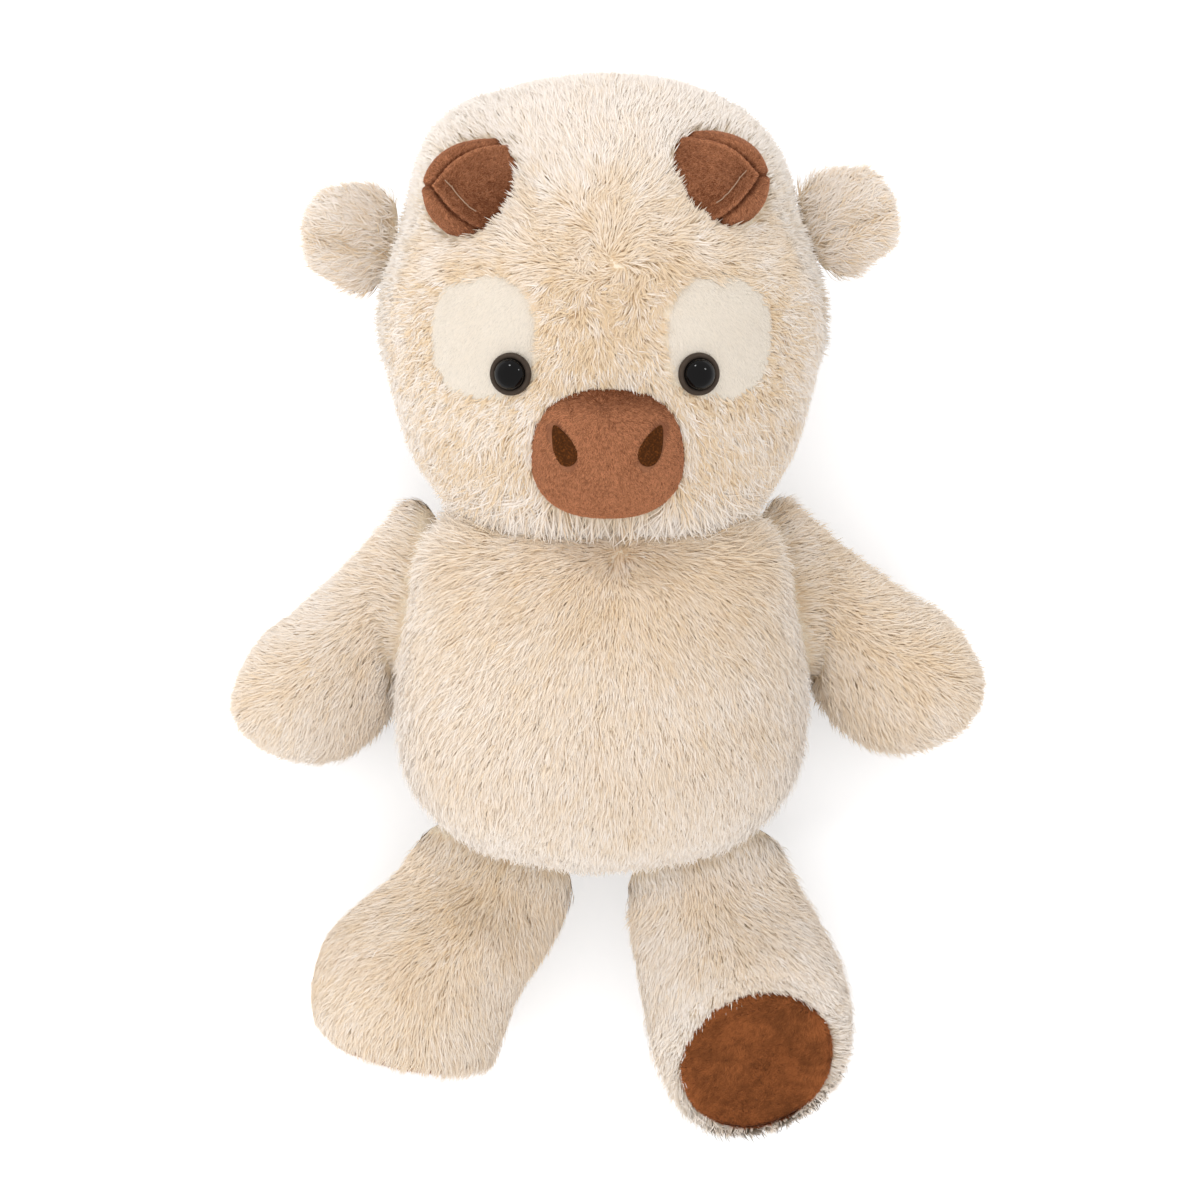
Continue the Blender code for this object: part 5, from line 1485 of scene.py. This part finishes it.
class PLUSH_OT_limbs(bpy.types.Operator):
    """Makes the arms' and legs' covers, fillings, pile and the soles"""

    bl_idname = "plush_cow.limbs"
    bl_label = "Arms and legs"

    def execute(self, context):
        for side in SIDES:
            for part, seed in (("arm", 71), ("leg", 81)):
                self.limb(side, part, seed + (side == "left"))
            self.sole(side)
        return {"FINISHED"}

    @staticmethod
    def limb(side, part, seed):
        name = f"{side}_{part}"
        form, seam = Forms.get(name), (arm_seam if part == "arm" else leg_seam)(side)
        made = skin(name + "_backing", form, Finishes.get("backing"), BACKING)
        carry(made, name, (name + "_cover",))
        if part == "arm":
            inner = seam.world(arm_lobe(side, -FILLING_IN, 30, 60, 6))
        else:
            inner = leg_end(side, seam.world(leg_lobe(side, -FILLING_IN, 34, 64, 6)), -0.003)
        filling(name + "_stuffing_fibre", inner, name)
        room = Forms.room(name, "body", "head") if part == "arm" else Forms.room(name, "body")
        place = seam.local(form.points)
        angle = np.broadcast_to(2 * np.pi * np.arange(form.columns) / form.columns, place.shape[:2])
        full = ARM_REACH if part == "arm" else LEG_REACH[side]
        reach = place[..., 0] / full
        # Darker along the front's parting, partly the tan roots that show there and partly painted shade, and darker
        # towards the root where the limb meets the body: painted shade
        parting = bell(np.cos(angle), 0.0, 0.42) * (np.sin(angle) > 0)
        tone = 0.62 - 0.28 * parting * smooth(1.1, 0.5, reach) - 0.14 * smooth(0.45, 0.0, reach)
        weight = smooth(-0.010, -0.006, place[..., 0])
        inward = np.clip(form.normal @ seam.out, None, 0) * smooth(0.003, -0.002, place[..., 0])
        form.normal = unit(form.normal - inward[..., None] * seam.out)
        y = form.normal[..., 1]
        # The root cap by the body: lit more from above, and 0.12 paler in tone, which is painted light in the shaded
        # notch there
        cap = smooth(0.006, -0.001, place[..., 0])
        lit = (0.35 + 0.9 * cap)[..., None] * UP
        # Whole limbs made paler by their share: painted light for the body's shadow on the left leg and the brighter
        # side of the right arm
        tone = tone + 0.12 * cap + LIMB_PAINTED_LIGHT[name]
        high = limb_height(name, form.normal[..., 0], y, reach)
        long = np.ones(place.shape[:2])
        if part == "leg":
            middle, out, _, _ = sole_frame(side)
            deep, flat, disc = from_sole(form.points, middle, out)
            weight = np.where((deep > -0.0025) & (disc < SOLE_RADIUS * 0.985), 0.0, weight)
            weight = weight * (1 + 0.8 * smooth(-0.008, -0.002, deep) * smooth(1.6, 1.3, disc / SOLE_RADIUS))
        if name == "left_leg":
            long = 0.40 + 0.25 * smooth(-0.2, 0.4, -unit(flat) @ seam.out)
            ringed = smooth(-0.012, -0.003, deep) * smooth(1.5, 1.2, disc / SOLE_RADIUS)
            long = 1 - long * ringed
            ringed = np.maximum(ringed, smooth(-0.040, -0.014, deep) * np.clip(-y, 0, 1))
            lit = lit + (0.45 + 0.9 * ringed)[..., None] * UP
            # Paler round the sole and on the leg's underside: painted light where the leg faces away from the lamps
            tone = tone + 0.10 * ringed
        front = form.normal[..., 2] > -0.25
        if part == "arm":
            nap = limb_nap(seam, full, 0.9, 0.3)
        else:
            nap = limb_nap(seam, full, 0.65, 0.25, ring=(middle, out, 0.8 if side == "left" else 0.15))
        for end, where, dense, width in (("front", front, 3.3, 0.00045), ("back", ~front, 1.45, 0.00066)):
            comb(
                f"{name}_pile_{end}", form, dense, seed * 10 + (end == "back"), nap, weight * where, tone, width, name,
                26.0, room=room, high=high, long=long, lit=lit,
            )

    @staticmethod
    def sole(side):
        middle, out, across, upward = sole_frame(side)
        turn = np.linspace(-0.45 * np.pi, 0.5 * np.pi, 18)
        edge = SOLE_RADIUS - SOLE_INSET
        under, over = np.linspace(0.0, edge, 8)[:-1], np.linspace(edge, 0.0, 34)[1:]
        domed = SOLE_HEIGHT + SOLE_PROUD * (1 - (over / edge) ** 2)
        r = np.concatenate([under, edge + SOLE_ROUND * np.cos(turn), over])
        h = np.concatenate([np.full(7, -SOLE_UNDER), 0.0003 + SOLE_ROUND * np.sin(turn), domed])
        form = Form(lathe(np.stack([r, h], axis=-1), middle, out, 160))
        form.points = form.points + (0.0007 * (noise(form.points, 0.009, 9) - 0.5))[..., None] * out
        made = skin(side + "_sole_suede", form, Finishes.get("sole"))
        carry(made, side + "_leg", (side + "_sole_pad",))
        deep, _, disc = from_sole(form.points, middle, out)
        top = deep > 0.0
        tone = 0.42 + 0.30 * smooth(SOLE_RADIUS - 0.004, SOLE_RADIUS - 0.001, disc)
        tone = tone + 1.0 * (noise(form.points, 0.010, 13) - 0.5) + 1.4 * (noise(form.points, 0.0022, 14) - 0.5)

        def nap(form, points, normal, row, column):
            turned = 5.0 * (noise(points, 0.014, 17) - 0.5)
            way = np.cos(turned)[:, None] * across - np.sin(turned)[:, None] * upward
            return flattened(way, normal)

        comb(
            side + "_sole_nap", form, 17.0, 91 + (side == "left"), nap, top, tone, 0.00030, side + "_leg", 5.0,
            size=(0.0022, 0.0007), tuft=0.0006, per_tuft=5, stations=(0.0,), wander=0.55, jitter=0.34,
            material="sole_nap",
        )


class PLUSH_OT_stage(bpy.types.Operator):
    """Makes the pale floor, the soft light and the camera straight above"""

    bl_idname = "plush_cow.stage"
    bl_label = "Stage"

    def execute(self, context):
        scene, stage = context.scene, context.scene.plush_stage
        scene.view_settings.view_transform = "Standard"
        corners = np.array([(-3, -3, 0), (3, -3, 0), (3, 3, 0), (-3, 3, 0)], float)
        floor = mesh_object("floor", corners, np.array([[0, 1, 2, 3]]), material=self.paper())
        self.sky(scene, stage.daylight)
        self.lamp("upper_lamp", 104.0, stage.lamp)
        self.lamp("side_lamp", 34.0, stage.lamp * 0.7)
        camera = bpy.data.objects.new("camera", bpy.data.cameras.new("camera"))
        camera.data.type = "PERSP"
        camera.data.sensor_width = SENSOR
        camera.data.lens = SENSOR * stage.distance / stage.field
        camera.data.clip_end = 30.0
        camera.location = STAGE_MIDDLE + stage.distance * UP
        scene.collection.objects.link(camera)
        scene.camera = camera
        return {"FINISHED"}

    @staticmethod
    def lamp(name, azimuth, power):
        """A square soft lamp at an azimuth from +X, turned to the middle."""
        a, e = math.radians(azimuth), math.radians(LAMP_ELEVATION)
        back = np.array([math.cos(a) * math.cos(e), math.sin(a) * math.cos(e), math.sin(e)])
        lamp = bpy.data.objects.new(name, bpy.data.lights.new(name, "AREA"))
        lamp.data.size = LAMP_SIZE
        lamp.data.energy = power
        lamp.location = STAGE_MIDDLE + LAMP_AWAY * back
        lamp.rotation_mode = "QUATERNION"
        lamp.rotation_quaternion = Vector(-back).to_track_quat("-Z", "Y")
        bpy.context.scene.collection.objects.link(lamp)

    @staticmethod
    def seen(tree):
        """1 for a ray from the camera, a mirror or glass."""
        path = tree.nodes.new("ShaderNodeLightPath")
        seen = math_node(tree, "MAXIMUM", path.outputs["Is Camera Ray"], path.outputs["Is Glossy Ray"])
        return math_node(tree, "MAXIMUM", seen, path.outputs["Is Transmission Ray"])

    @classmethod
    def paper(cls):
        made, tree, shader = new_material("floor_paper", 0.9, 0.0, 0.2)
        grain = object_noise(tree, 30.0)
        tree.links.new(mix(tree, grain, (0.80, 0.80, 0.81), (0.82, 0.82, 0.83)), shader.inputs["Base Color"])
        shader.inputs["Emission Color"].default_value = (1, 1, 1, 1)
        tree.links.new(math_node(tree, "MULTIPLY", cls.seen(tree), 0.45), shader.inputs["Emission Strength"])
        return made

    @classmethod
    def sky(cls, scene, strength):
        world = bpy.data.worlds.new("daylight")
        scene.world = world
        world.use_nodes = True
        tree = world.node_tree
        back = tree.nodes["Background"]
        back.inputs["Color"].default_value = (1, 1, 1, 1)
        parts = tree.nodes.new("ShaderNodeSeparateXYZ")
        tree.links.new(tree.nodes.new("ShaderNodeTexCoord").outputs["Generated"], parts.inputs["Vector"])
        even = math_node(tree, "MULTIPLY_ADD", parts.outputs["X"], -0.38 * strength, strength)
        even = math_node(tree, "MULTIPLY_ADD", parts.outputs["Y"], -0.28 * strength, even)
        seen = cls.seen(tree)
        unseen = math_node(tree, "MULTIPLY", even, math_node(tree, "SUBTRACT", 1.0, seen))
        tree.links.new(math_node(tree, "ADD", unseen, seen), back.inputs["Strength"])


class PLUSH_PT_sidebar(bpy.types.Panel):
    """Lists the parts of the cow in the sidebar"""

    bl_idname = "PLUSH_PT_sidebar"
    bl_label = "Plush Cow"
    bl_space_type = "VIEW_3D"
    bl_region_type = "UI"
    bl_category = "Plush Cow"

    def draw(self, context):
        for settings in (context.scene.plush_pile, context.scene.plush_trim, context.scene.plush_stage):
            box = self.layout.box()
            for name in settings.__annotations__:
                box.prop(settings, name)
        for operator in OPERATORS:
            self.layout.operator(operator.bl_idname)


SETTINGS = {"plush_pile": PileSettings, "plush_trim": TrimSettings, "plush_stage": StageSettings}
OPERATORS = (
    PLUSH_OT_stage, PLUSH_OT_body, PLUSH_OT_head, PLUSH_OT_panels, PLUSH_OT_eyes, PLUSH_OT_snout, PLUSH_OT_horns,
    PLUSH_OT_ears, PLUSH_OT_limbs,
)


def register():
    for name, group in SETTINGS.items():
        bpy.utils.register_class(group)
        setattr(bpy.types.Scene, name, PointerProperty(type=group))
    for made in (*OPERATORS, PLUSH_PT_sidebar):
        bpy.utils.register_class(made)


def unregister():
    for made in (PLUSH_PT_sidebar, *reversed(OPERATORS)):
        bpy.utils.unregister_class(made)
    for name, group in SETTINGS.items():
        delattr(bpy.types.Scene, name)
        bpy.utils.unregister_class(group)


def main():
    register()
    for step in ("stage", "body", "head", "panels", "eyes", "snout", "horns", "ears", "limbs"):
        getattr(bpy.ops.plush_cow, step)()


if __name__ == "__main__":
    main()
